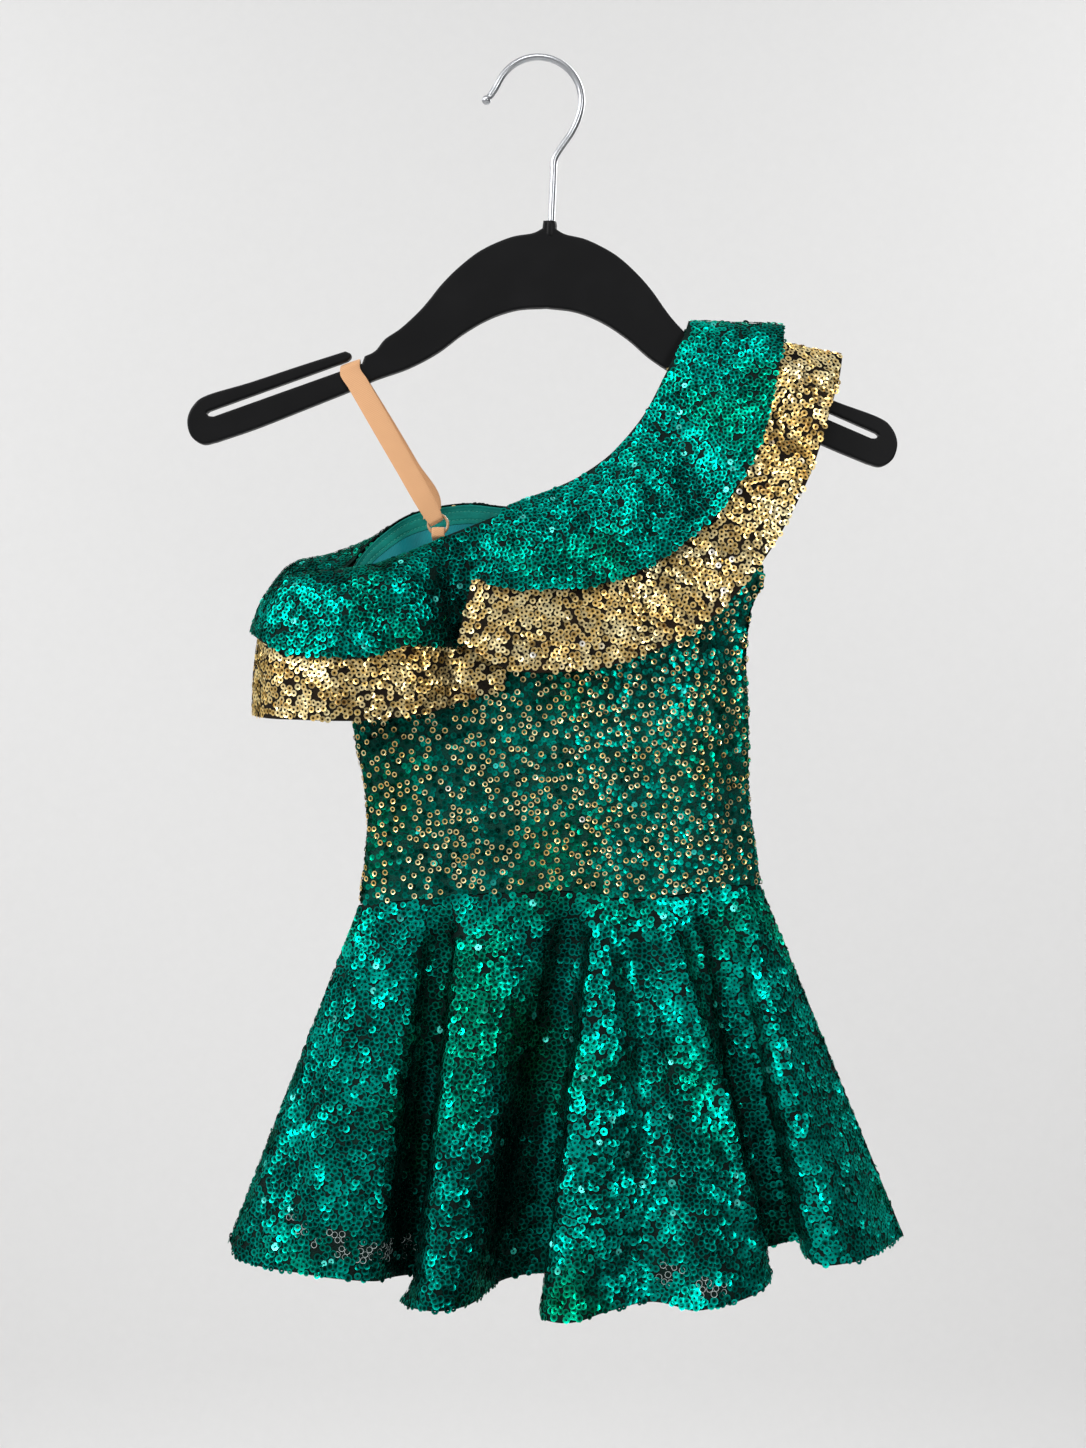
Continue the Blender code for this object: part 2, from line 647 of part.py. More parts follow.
def hanger_body(material):
    """Flat moulded hanger with sprung strap slots, its edges eased."""
    half = hanger_half()
    right = [(HANGER_AXIS + off, height) for off, height in half]
    left = [(HANGER_AXIS - off, height) for off, height in reversed(half[:-1])]
    outline = np.array([tilt(x, z) for x, z in right + left])
    before = unit(outline - np.roll(outline, 1, axis=0))
    after = unit(np.roll(outline, -1, axis=0) - outline)
    along = unit(before + after)
    inward = np.stack([along[:, 1], -along[:, 0]], axis=-1)
    corner = np.clip(np.sum(before * along, axis=1), 0.7, 1.0)[:, None]
    inset = outline + inward * HANGER_BEVEL / corner
    layers = ((inset, HANGER_HALF_THICKNESS), (outline, HANGER_HALF_THICKNESS - HANGER_BEVEL),
              (outline, HANGER_BEVEL - HANGER_HALF_THICKNESS), (inset, -HANGER_HALF_THICKNESS))
    count = len(outline)
    points = [(x, y, z) for ring, y in layers for x, z in ring]
    cage = bmesh.new()
    corners = [cage.verts.new(point) for point in points]
    for layer in range(len(layers) - 1):
        for spot in range(count):
            after_spot = (spot + 1) % count
            cage.faces.new((corners[layer * count + spot], corners[layer * count + after_spot],
                            corners[(layer + 1) * count + after_spot],
                            corners[(layer + 1) * count + spot]))
    cage.faces.new(corners[:count])
    cage.faces.new(list(reversed(corners[-count:])))
    bmesh.ops.recalc_face_normals(cage, faces=cage.faces[:])
    bmesh.ops.triangulate(cage, faces=cage.faces[:])
    cage.verts.index_update()
    solid_points = [tuple(corner.co) for corner in cage.verts]
    solid_faces = [tuple(corner.index for corner in face.verts) for face in cage.faces]
    cage.free()
    return new_object("hanger_body", solid_points, solid_faces, material)


def tube(name, path, radii, sides, material, closed=False):
    """Round wire along a path that lies in one upright plane."""
    path = np.array(path, dtype=float)
    count = len(path)
    if closed:
        along = np.roll(path, -1, axis=0) - np.roll(path, 1, axis=0)
    else:
        along = np.gradient(path, axis=0)
    along = unit(along)
    flat = np.array([0.0, 1.0, 0.0])
    across = unit(np.cross(along, flat))
    points = []
    for spot in range(count):
        for turn in range(sides):
            angle = 2 * math.pi * turn / sides
            off = across[spot] * math.cos(angle) + flat * math.sin(angle)
            points.append(path[spot] + off * radii[spot])
    faces = []
    for spot in range(count if closed else count - 1):
        ahead = (spot + 1) % count
        for turn in range(sides):
            side = (turn + 1) % sides
            faces.append((spot * sides + turn, ahead * sides + turn,
                          ahead * sides + side, spot * sides + side))
    if not closed:
        faces.append(tuple(range(sides)))
        faces.append(tuple((count - 1) * sides + turn for turn in reversed(range(sides))))
    return new_object(name, points, faces, material)


def hanger_hook(material):
    """Wire hook with its ball tip, down to the hanger's socket."""
    centre_x, centre_z = HOOK_ARC_CENTRE
    path = [HOOK_TIP, (HOOK_TIP[0] + 1.7, HOOK_TIP[1] + 1.6), (-20.9, -12.6)]
    for step in range(HOOK_ARC_STEPS + 1):
        angle = HOOK_ARC_FROM + (HOOK_ARC_TO - HOOK_ARC_FROM) * step / HOOK_ARC_STEPS
        path.append((centre_x + HOOK_ARC_RADIUS * math.cos(angle),
                     centre_z + HOOK_ARC_RADIUS * math.sin(angle)))
    path += HOOK_NECK
    socket_top = tilt(HANGER_AXIS, HANGER_STRETCHES[0][0][1])
    path.append((socket_top[0], socket_top[1] + HOOK_FOOT_CLEARANCE))
    radii = [HOOK_RADIUS] * len(path)
    ball = []
    for angle in (80, 50, 20, -10):
        ball.append((HOOK_TIP[0] - HOOK_TIP_RADIUS * math.sin(math.radians(angle)) * 0.7,
                     HOOK_TIP[1] - HOOK_TIP_RADIUS * math.sin(math.radians(angle)) * 0.7,
                     HOOK_TIP_RADIUS * math.cos(math.radians(angle))))
    path = [(x, z) for x, z, _ in ball] + path[1:]
    radii = [max(radius, 0.4) for _, _, radius in ball] + radii[1:]
    return tube("hanger_hook", [(x, 0.0, z) for x, z in path], radii, HOOK_SIDES, material)


def ribbon(name, middle, across, facing, widths, thickness, material):
    """Flat strip along a line of points, with its width and facing directions at each."""
    middle = np.array(middle, dtype=float)
    across = unit(np.array(across, dtype=float))
    facing = unit(np.array(facing, dtype=float))
    half = np.array(widths, dtype=float)[:, None] / 2
    outer = np.stack([middle - across * half, middle, middle + across * half], axis=1)
    inner = outer - facing[:, None] * thickness
    return wall(name, outer, inner, material)


def strap(material):
    """Elastic strap: up from the ring, over the hanger's slotted arm and down to the back neck."""
    bar_x, bar_top = tilt(HANGER_AXIS + STRAP_BAR_PLACE, STRAP_BAR_TOP)
    slope = math.radians(21.5) - HANGER_TILT
    along_bar = np.array([math.cos(slope), 0.0, math.sin(slope)])
    level = np.array([1.0, 0.0, 0.0])
    reach = HANGER_HALF_THICKNESS + GAP + STRAP_WALL
    ring_top = np.array(RING_CENTRE) + (0, 0, RING_RADIUS)
    ring_clear = RING_WIRE + GAP
    sag = RING_RADIUS - math.sqrt(RING_RADIUS ** 2 - (STRAP_END_WIDTH / 2) ** 2)
    turn_z = ring_top[2] - sag - RING_WIRE - GAP
    middle, across, facing, widths = [], [], [], []

    def add(point, width_way, face_way, width):
        middle.append(point)
        across.append(width_way)
        facing.append(face_way)
        widths.append(width)

    back_end = ring_top + (0, ring_clear + STRAP_WALL, 5.0)
    add(back_end, level, (0, 1, 0), STRAP_END_WIDTH)
    add((ring_top[0], back_end[1], turn_z + 0.6), level, (0, 1, 0), STRAP_END_WIDTH)
    for step in range(1, STRAP_TURN_STEPS):
        angle = math.pi * step / STRAP_TURN_STEPS
        way = np.array([0, math.cos(angle), -math.sin(angle)])
        add(np.array([ring_top[0], ring_top[1], turn_z + 0.6]) + way * (ring_clear + STRAP_WALL),
            level, way, STRAP_END_WIDTH)
    front_y = ring_top[1] - ring_clear - STRAP_WALL
    add((ring_top[0], front_y, turn_z + 0.6), level, (0, -1, 0), STRAP_END_WIDTH)
    add((ring_top[0] - 1.4, front_y, ring_top[2] + 1.6), level, (0, -1, 0), STRAP_END_WIDTH + 1.6)
    start = np.array([ring_top[0] - 5.0, front_y, ring_top[2] + 5.6])
    top = np.array([bar_x, -reach, bar_top - STRAP_CROWN])
    run = unit(top - start)
    cross = unit(np.cross((0, 1, 0), run))
    for share in (0.0, 0.3, 0.6, 0.9, 1.0):
        bow = (0, -1.5 * math.sin(math.pi * share), 0)
        way = along_bar * share ** 6 + cross * (1 - share ** 6)
        add(start + (top - start) * share + bow, way, (0, -1, 0), STRAP_WIDTH)
    for step in range(1, STRAP_TURN_STEPS):
        angle = math.pi * step / STRAP_TURN_STEPS
        way = np.array([0, -math.cos(angle), math.sin(angle)])
        add(np.array([bar_x, 0, bar_top - STRAP_CROWN]) + way * reach, along_bar, way, STRAP_WIDTH)
    neck = neck_points(BACK_NECK, 1, np.array([STRAP_BACK_SHARE]))[0]
    inside = neck[1] - BODICE_WALL - 2 * GAP - BINDING_WALL - 0.9
    back_top = np.array([bar_x, reach, bar_top - STRAP_CROWN])
    back_foot = np.array([neck[0], inside, neck[2] + 1.0])
    run = unit(back_foot - back_top)
    cross = unit(np.cross(run, (0, 1, 0)))
    for share in (0.0, 0.1, 0.4, 0.7, 1.0):
        way = along_bar * (1 - share) ** 6 + cross * (1 - (1 - share) ** 6)
        bow = (STRAP_BACK_BOW * math.sin(math.pi * share), 0, 0)
        add(back_top + (back_foot - back_top) * share + bow, way, (0, 1, 0), STRAP_WIDTH)
    add(back_foot - (0, 0, STRAP_BACK_OVERLAP), cross, (0, 1, 0), STRAP_WIDTH)
    return ribbon("strap", middle, across, facing, widths, STRAP_WALL, material)


def strap_ring(material):
    """Small ring between the strap and its tab."""
    path = []
    for step in range(RING_SEGMENTS):
        angle = 2 * math.pi * step / RING_SEGMENTS
        path.append(np.array(RING_CENTRE) + RING_RADIUS * np.array(
            [math.cos(angle), 0.0, math.sin(angle)]))
    radii = [RING_WIRE] * RING_SEGMENTS
    return tube("strap_ring", path, radii, RING_SIDES, material, closed=True)


def strap_tab(material):
    """Short loop of elastic from inside the front neck, up round the ring."""
    neck = neck_points(FRONT_NECK, -1, np.array([TAB_SHARE]))[0]
    ring_foot = np.array(RING_CENTRE) - (0, 0, RING_RADIUS)
    sag = RING_RADIUS - math.sqrt(RING_RADIUS ** 2 - (TAB_WIDTH_TOP / 2) ** 2)
    clear = RING_WIRE + GAP + TAB_WALL
    turn_z = ring_foot[2] + sag + RING_WIRE + GAP - 0.6
    level = np.array([1.0, 0.0, 0.0])
    slant = unit(np.array([1.0, 0.0, 0.42]))
    foot_y = neck[1] + BODICE_WALL + GAP + 0.6
    foot = np.array([neck[0], foot_y, neck[2] - TAB_TUCK])
    rim = np.array([neck[0], foot_y - 0.2, neck[2] + 0.3])
    under_ring = ring_foot - (0, clear, RING_WIRE + GAP)
    middle = [foot, rim, under_ring, (ring_foot[0], ring_foot[1] - clear, turn_z)]
    across = [slant, slant, level, level]
    facing = [(0, -1, 0)] * 4
    widths = [TAB_WIDTH_BOTTOM, TAB_WIDTH_BOTTOM, TAB_WIDTH_TOP, TAB_WIDTH_TOP]
    for step in range(1, STRAP_TURN_STEPS):
        angle = math.pi * step / STRAP_TURN_STEPS
        way = np.array([0, -math.cos(angle), math.sin(angle)])
        middle.append(np.array([ring_foot[0], ring_foot[1], turn_z]) + way * clear)
        across.append(level)
        facing.append(way)
        widths.append(TAB_WIDTH_TOP)
    middle.append((ring_foot[0], ring_foot[1] + clear, turn_z))
    middle.append((ring_foot[0], ring_foot[1] + clear, ring_foot[2] - 0.8))
    across += [level, level]
    facing += [(0, 1, 0)] * 2
    widths += [TAB_WIDTH_TOP] * 2
    return ribbon("strap_tab", middle, across, facing, widths, TAB_WALL, material)


def back_neck_trim(binding, lining):
    """Stitched binding along the inside of the back neck, and the lining below it."""
    binding_shares = np.linspace(0, 1, BINDING_ROWS)
    lining_shares = np.linspace(0, 1, LINING_ROWS)
    top = BINDING_WIDTH + GAP
    back_inside("back_neck_binding", BINDING_ACROSS,
                lambda run: BINDING_WIDTH * binding_shares, GAP, BINDING_WALL, binding)
    back_inside("back_lining", LINING_ACROSS,
                lambda run: top + (run - LINING_CLEARANCE - top) * lining_shares,
                LINING_STAND, LINING_WALL, lining)


def main():
    for item in list(bpy.data.objects):
        bpy.data.objects.remove(item)

    green = finish("green sequins", (0.0, 0.24, 0.17), 0.30, 0.75)
    mixed = finish("green and gold sequins", (0.05, 0.22, 0.13), 0.32, 0.70)
    gold = finish("gold sequins", (0.72, 0.52, 0.24), 0.28, 0.85)
    satin_black = finish("satin black plastic", (0.012, 0.012, 0.014), 0.42, 0.0)
    bright_wire = finish("bright wire", (0.74, 0.75, 0.77), 0.16, 1.0)
    elastic = finish("tan elastic", (0.75, 0.48, 0.29), 0.62, 0.0)
    clear_ring = finish("pale ring", (0.62, 0.52, 0.38), 0.25, 0.0)
    teal = finish("teal binding", (0.0, 0.21, 0.17), 0.60, 0.0)
    turquoise = finish("turquoise lining", (0.0, 0.30, 0.33), 0.45, 0.0)

    bodice("bodice_front", -1, mixed)
    bodice("bodice_back", 1, mixed)
    back_neck_trim(teal, turquoise)
    skirt("skirt_front", -1, FRONT_FOLDS, FRONT_FOLD_STEPS, green)
    skirt("skirt_back", 1, BACK_FOLDS, BACK_FOLD_STEPS, green)
    ruffles(gold, green)
    strap(elastic)
    strap_ring(clear_ring)
    strap_tab(elastic)
    hanger_body(satin_black)
    hanger_hook(bright_wire)


main()
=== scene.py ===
"""A child's one-shoulder sequin dress on its child's hanger.

Lengths are in millimetres here and MM turns them into metres.
X runs to the right of the dress as it is seen from the front, the front faces -Y and +Z is up.
The origin is the crown of the hanger's hook.
"""

import math

import bmesh
import bpy
import mathutils
import numpy as np
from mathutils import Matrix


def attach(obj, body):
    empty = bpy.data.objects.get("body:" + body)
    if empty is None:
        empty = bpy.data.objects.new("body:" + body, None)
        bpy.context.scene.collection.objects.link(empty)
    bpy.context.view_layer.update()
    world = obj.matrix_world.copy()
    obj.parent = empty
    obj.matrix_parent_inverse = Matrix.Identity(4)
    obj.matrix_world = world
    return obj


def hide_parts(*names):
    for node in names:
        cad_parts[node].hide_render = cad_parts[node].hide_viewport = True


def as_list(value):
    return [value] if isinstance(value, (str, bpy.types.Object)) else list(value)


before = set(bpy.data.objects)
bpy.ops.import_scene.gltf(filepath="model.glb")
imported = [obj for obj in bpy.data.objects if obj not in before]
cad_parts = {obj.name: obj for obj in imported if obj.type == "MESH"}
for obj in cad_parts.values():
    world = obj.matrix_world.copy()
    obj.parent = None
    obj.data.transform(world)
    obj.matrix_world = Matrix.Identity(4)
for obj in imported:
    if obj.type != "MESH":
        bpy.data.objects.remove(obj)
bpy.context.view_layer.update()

MM = 0.001

FRONT = np.array([0.0, -1.0, 0.0])
BACK = np.array([0.0, 1.0, 0.0])
UP = np.array([0.0, 0.0, 1.0])

# Sequins: radius, hole, and how far apart their middles lie along a row and between rows
SEQUIN_RADIUS = 1.45
SEQUIN_HOLE = 0.48
SEQUIN_PITCH = 2.0
SEQUIN_APART = 1.86
SEQUIN_SIDES = 8

# Each sequin is a shallow cup: its rim stands above its middle plane and its hole below
CUP_RIM = 0.08
CUP_HOLE = 0.03

# Net and sequins together fill each wall: the net lies this far under the wall's outer face, and
# the sequins stand this far above the net, or up to the spread more
NET_DEPTH = 0.7
SEQUIN_LIFT = 0.30
LIFT_SPREAD = 0.12

# Share of the sequins that are turned out of line, and how much further than the others
UPSET_SHARE = 0.12
UPSET_TURN = 4

# How strongly rows of sequins bend, and where they stop short of the grid's edges, in its steps
ROW_CURL = 1.3
ROW_START = 0.1
ROW_END = 0.04
COLUMN_END = 0.15

# A sequin's own cell of space and the cells round it
NEXT_CELLS = tuple((a, b, c) for a in (-1, 0, 1) for b in (-1, 0, 1) for c in (-1, 0, 1))

# Sequins on each kind of cloth: how their rows are laid, how bright they are and how they look.
# Patches are soft lighter areas: size, seed and strength. Drift is painted shade that makes the
# tone darker on the left and lighter on the right; the painted valley shade darkens the deep folds.
LAYERS = {
    "bodice": (
        {"ending": "_green_sequins", "finish": "flat green", "row_seed": 50, "seed": 60,
         "rows": {"pitch": 2.5, "apart": 2.35},
         "tone": {"base": -0.04, "own": 0.6, "patches": (16, 5, 0.6), "drift": 0.0030},
         "look": {"hole": 0.3, "lean": 0.05, "loose": 0.08, "lift": 0.12}},
        {"ending": "_gold_sequins", "finish": "yellow gold", "row_seed": 70, "seed": 80,
         "rows": {"pitch": 5.2, "apart": 3.0, "most": 1, "fill": 1.25},
         "tone": {"base": 0.35, "own": 0.85},
         "look": {"radius": 1.36, "hole": 0.80, "lean": 0.0, "lift": 0.62}},
    ),
    "skirt": (
        {"ending": "_sequins", "finish": "green", "row_seed": 50, "seed": 60,
         "rows": {"pitch": 2.3, "apart": 2.1, "fill": 1.8},
         "tone": {"own": 0.5, "patches": (22, 7, 0.45), "drift": 0.0016, "dull": 0.75},
         "look": {"radius": 1.68, "hole": 0.5, "uneven": 0.16}},
        {"ending": "_threads", "finish": "pale thread", "row_seed": 90, "seed": 93, "on_bare": True,
         "rows": {"pitch": 2.9, "apart": 2.6, "most": 5, "fill": 3.0},
         "tone": {"own": 1.0},
         "look": {"radius": 1.5, "hole": 1.28, "lift": 0.2}},
    ),
    "ruffle_gold": (
        {"ending": "_sequins", "finish": "gold", "row_seed": 50, "seed": 60,
         "rows": {"pitch": 2.2, "fill": 1.3, "apart": 2.0},
         "tone": {"own": 0.5, "patches": (18, 9, 0.75)},
         "look": {"radius": 1.55, "hole": 0.6}},
    ),
    "ruffle_green": (
        {"ending": "_sequins", "finish": "green", "row_seed": 50, "seed": 60,
         "rows": {"fill": 1.9, "margin": 1.3},
         "tone": {"base": -0.16, "own": 0.45, "patches": (20, 8, 0.6), "dull": 0.7},
         "look": {}},
    ),
}

# Creases, seen square on: x, z at one end, x, z at the other, half width, height off the cloth,
# with troughs below 0
FRONT_BODICE_CREASES = (
    (-80, -330, -30, -365, 9, 1),
    (-30, -300, -12, -390, 9, -1.6),
    (14, -312, 6, -388, 8, 1.2),
    (48, -290, 40, -390, 9, -1),
    (60, -300, 85, -385, 9, 1.4),
    (92, -268, 96, -380, 6, -1.4),
)
BACK_BODICE_CREASES = (
    (-74, -325, -44, -385, 9, 1.2),
    (-20, -300, -6, -390, 8, -1.2),
    (26, -310, 34, -390, 9, 1.2),
    (76, -290, 62, -385, 8, -1.2),
)
FRONT_SKIRT_CREASES = (
    (-118, -480, -140, -560, 7, 1.6),
    (-84, -420, -112, -566, 5, 1.8),
    (-45.8, -411, -64.3, -575, 7, -5),
    (-36.5, -420, -50.4, -580, 4.5, 2.6),
    (14.4, -413, -12, -575, 9, -6),
    (28.3, -404, 2, -588, 3.5, 2),
    (43.6, -427, 68, -570, 9, -4),
    (58.4, -404, 86.2, -492, 3.2, 3),
    (86.2, -492, 103, -560, 3.4, 3.6),
    (74, -420, 112, -560, 6, -3),
    (98, -410, 138, -560, 5, 2.6),
    (-20, -500, -34, -585, 6, 1.8),
    (20, -520, 28, -586, 6, -2),
)
BACK_SKIRT_CREASES = (
    (-70, -415, -116, -568, 6, 2.4),
    (-50, -415, -74, -570, 8, -3.6),
    (-22, -415, -34, -575, 5, 2.2),
    (14, -415, 22, -575, 8, -3.8),
    (46, -412, 58, -575, 5, 2.4),
    (74, -410, 106, -570, 7, -3.2),
    (94, -410, 146, -566, 5, 2),
)
GOLD_CREASES = (
    (40, -250, 42, -286, 7, 2.4),
    (-9, -268, 14, -280, 6, -2),
    (65, -223, 89, -242, 8, -2.6),
    (57, -254, 70, -275, 6, -2),
    (118, -176, 128, -188, 8, -2.4),
    (-96, -290, -100, -314, 8, 1.6),
    (-70, -288, -72, -312, 6, -1.6),
)
GREEN_CREASES = (
    (47, -188, 45, -226, 5, 2.6),
    (66, -182, 76, -216, 9, -3.8),
    (94, -178, 90, -214, 7, 0.8),
    (20, -226, 24, -240, 6, -2),
    (-2, -236, 2, -256, 6, 1.8),
    (-44, -236, -30, -284, 11, -1.9),
    (-90, -262, -96, -286, 7, 2),
    (-70, -264, -72, -286, 6, -2),
)

# The deep folds' floors at the front, where the sequins are darkened as painted shade: x, z at one
# end, x, z at the other, half width. The taper is the share of that width that is lost at the first
# end.
VALLEY_TAPER = 0.65
PAINTED_SHADE_VALLEYS = (
    (-44, -410, -62, -572, 9),
    (14, -408, -22, -575, 19),
    (48, -425, 76, -560, 9),
    (76, -410, 114, -565, 9),
    (-38, -238, -44, -286, 14),
    (66, -192, 72, -216, 9),
)

# Where sequins are lost near the hem and their thread rings show: x, z at both ends, half width
BARE_HEM = (
    (-117, -551, -63, -565, 5),
    (56, -567, 82, -573, 4),
)

# Cut of each piece of cloth before it was sewn: width, length and area in metres
CUTS = {
    "bodice_front": (0.215, 0.280, 0.0394),
    "bodice_back": (0.215, 0.285, 0.0403),
    "skirt_front": (0.545, 0.215, 0.0705),
    "skirt_back": (0.445, 0.205, 0.0546),
    "ruffle_gold_side": (0.420, 0.110, 0.0255),
    "ruffle_green_side": (0.400, 0.085, 0.0158),
    "ruffle_gold_shoulder": (0.560, 0.100, 0.0324),
    "ruffle_green_shoulder": (0.480, 0.070, 0.0188),
}

# Camera: level, looking along +Y at the middle of the photographed frame
CAMERA_X = 1.92
CAMERA_Z = -317.76
CAMERA_DISTANCE = 1000.0
CAMERA_FRAME = 695.04
CAMERA_SENSOR = 36.0

# The room round the dress: its brightness, and how far it darkens towards the right of the front
ROOM_BRIGHTNESS = 0.66
ROOM_SHADE = 0.61
ROOM_SHADE_FULL = 0.85
ROOM_DARK_SIDE = (0.80, -0.52, -0.30)

# Floor and wall, and the curve between them
FLOOR_FRONT = -4000.0
FLOOR_HEIGHT = -1950.0
WALL_PLACE = 3000.0
WALL_TOP = 3200.0
WALL_HALF_WIDTH = 5000.0
SWEEP_RADIUS = 400.0
SWEEP_STEPS = 12

# Soft boxes: name, place and aim in metres, width, height, power
LIGHTS = (
    ("key", (-1.7, -1.25, 0.8), (0.0, 0.0, -0.3), 1.0, 1.2, 34.0),
    ("top", (-0.1, -1.5, 1.4), (0.0, 0.0, -0.3), 0.6, 0.5, 11.0),
    ("right", (1.0, -1.7, 0.2), (0.0, 0.0, -0.4), 0.22, 0.8, 9.5),
    ("back", (0.9, 1.6, 0.8), (0.0, 0.0, -0.3), 1.1, 1.1, 30.0),
    ("wall_left", (-2.2, 1.2, 1.2), (-0.3, 3.0, -0.6), 1.5, 1.5, 22.0),
    ("wall_right", (2.2, 1.2, 1.2), (0.3, 3.0, -0.6), 1.5, 1.5, 26.0),
)

# Clearance where two pieces meet, half of it on each side of a seam, and the sharpest turn that
# a wall's edge is shaded round
GAP = 0.3
HALF_GAP = GAP / 2
WAIST_GAP = 0.5
EDGE_ANGLE = math.radians(50)

# Cloth thicknesses, with the sequins' height in them
BODICE_WALL = 1.6
SKIRT_WALL = 1.6
RUFFLE_WALL = 1.2
BINDING_WALL = 1.0
LINING_WALL = 1.0

# Bodice waist, an ellipse in plan
WAIST_LEFT = -86.5
WAIST_RIGHT = 107.0
WAIST_MIDDLE = (WAIST_LEFT + WAIST_RIGHT) / 2
WAIST_HALF = (WAIST_RIGHT - WAIST_LEFT) / 2
FRONT_DEPTH = 18.0
BACK_DEPTH = 16.0

# Height of the waist seam: x, z
WAIST_SEAM = (
    (-86.5, -404),
    (-68, -402),
    (-42, -399),
    (-8, -397),
    (18, -396.8),
    (34, -399.6),
    (54, -400.2),
    (72, -397.6),
    (90, -394.6),
    (107, -394.6),
)

# The ruffles stand up over the shoulder from this share of the way to it, and turn sideways
# within this share of the side seam
SHOULDER_TURN = 0.93
SIDE_TURN = 0.1

# Neckline of the front, from the left side seam to the shoulder fold: share, x, y, z
SHOULDER = 0.80
FRONT_NECK = (
    (0.00, -92.6, 0, -247.7),
    (0.06, -91.6, -4.6, -247.9),
    (0.12, -87.5, -8, -247.2),
    (0.20, -76, -10.8, -244.6),
    (0.30, -58, -13.5, -237.2),
    (0.40, -33, -16, -226.2),
    (0.50, -6, -16.6, -214.6),
    (0.60, 22, -15, -201),
    (0.66, 38.1, -13.5, -187.4),
    (0.70, 51, -11.6, -170.6),
    (0.73, 60, -9, -153),
    (0.75, 66, -7.4, -140.6),
    (0.77, 70, -6, -133.6),
    (0.785, 71, -4.6, -129.8),
    (0.80, 71.5, 0, -127.9),
)

# Neckline of the back: share, x, y, z
BACK_NECK = (
    (0.00, -92.6, 0, -247.7),
    (0.06, -91.2, 4.4, -243.6),
    (0.12, -86.5, 7.6, -236.6),
    (0.20, -76.2, 10.6, -226.1),
    (0.30, -60.4, 13.4, -216.1),
    (0.40, -36, 15, -211.4),
    (0.50, -9, 15.4, -212.9),
    (0.60, 18, 14.6, -206),
    (0.66, 36, 13, -192.4),
    (0.70, 50, 11.2, -174.6),
    (0.73, 59.4, 8.8, -155.6),
    (0.75, 66, 7.4, -141),
    (0.77, 70, 6, -133.6),
    (0.785, 71, 4.6, -129.8),
    (0.80, 71.5, 0, -127.9),
)
SHOULDER_END = (97.4, 0.0, -139.5)

# Left side seam: share of its height, x, z
LEFT_SEAM = (
    (0.00, -86.5, -404),
    (0.28, -83, -360),
    (0.55, -89.8, -317.3),
    (0.78, -91.7, -282),
    (1.00, -92.6, -247.7),
)

# Right side seam up to the armhole, then the armhole: share, x, depth off the seam plane, z
RIGHT_SEAM = (
    (0.000, 107, 0, -394.6),
    (0.074, 104.2, 0, -375.8),
    (0.136, 101.8, 0, -360),
    (0.303, 101, 0, -317.3),
    (0.459, 100.3, 0, -277.4),
    (0.525, 103, 0, -260.6),
    (0.567, 108.5, 0, -250),
)
ARMHOLE = (
    (0.567, 108.5, 0, -250),
    (0.600, 106, 5.6, -241.5),
    (0.635, 102.9, 8.2, -232.6),
    (0.718, 98.3, 10.4, -211.5),
    (0.811, 96, 10.2, -187.6),
    (0.906, 95.7, 8.2, -163.5),
    (0.959, 96.4, 6.6, -150),
    (0.985, 97, 4.9, -142.6),
    (1.000, 97.4, 0, -139.5),
)
BODICE_ROWS = (0, 0.074, 0.136, 0.22, 0.303, 0.38, 0.459, 0.525, 0.567, 0.600, 0.635, 0.70,
               0.76, 0.82, 0.87, 0.916, 0.95, 0.97, 0.985, 1.0)
SHOULDER_COLUMNS = (0.02, 0.77, 0.785, 0.79, 0.795, 0.985)
SHOULDER_PULL_FROM = 0.55
SHOULDER_PULL_TO = 0.90
NECK_FADE = 3

# Skirt folds at the front, left to right: x at the waist, then x, y, z at the hem
FRONT_FOLDS = (
    (-86.5, -149.3, 0, -565.5),
    (-81, -140.4, -17, -571.4),
    (-69, -106.1, -34, -573.3),
    (-56, -74.4, -35, -576.4),
    (-46, -57.5, -10, -580),
    (-38, -65, -41, -583),
    (-25, -47, -60, -583),
    (-10, -30, -48, -582.2),
    (4, -14.5, -21, -580),
    (15, 9.5, -9, -579.4),
    (27, 1, -47, -587.6),
    (34, 16, -64, -586.6),
    (47, 49, -48, -582),
    (57, 71, -58, -582.8),
    (66, 96, -50, -579.4),
    (73, 108.5, -34, -575),
    (79, 106.5, -13, -566),
    (86, 123, -9, -564),
    (91.5, 122.5, -28, -566),
    (96.5, 131.5, -42, -567),
    (102, 153, -32, -566),
    (107, 175.7, 0, -563.1),
)

# Skirt folds at the back, left to right
BACK_FOLDS = (
    (-86.5, -149.3, 0, -565.5),
    (-80, -139, 15, -569.5),
    (-64, -103, 30, -572.5),
    (-48, -72, 16, -574.5),
    (-34, -50, 12, -575.5),
    (-18, -31, 36, -577),
    (0, -6, 38, -577.5),
    (15, 20, 14, -577),
    (30, 40, 13, -576.5),
    (46, 56, 38, -576.5),
    (60, 84, 38, -575),
    (74, 108, 13, -571),
    (86, 126, 14, -568.5),
    (98, 152, 28, -566.5),
    (107, 175.7, 0, -563.1),
)

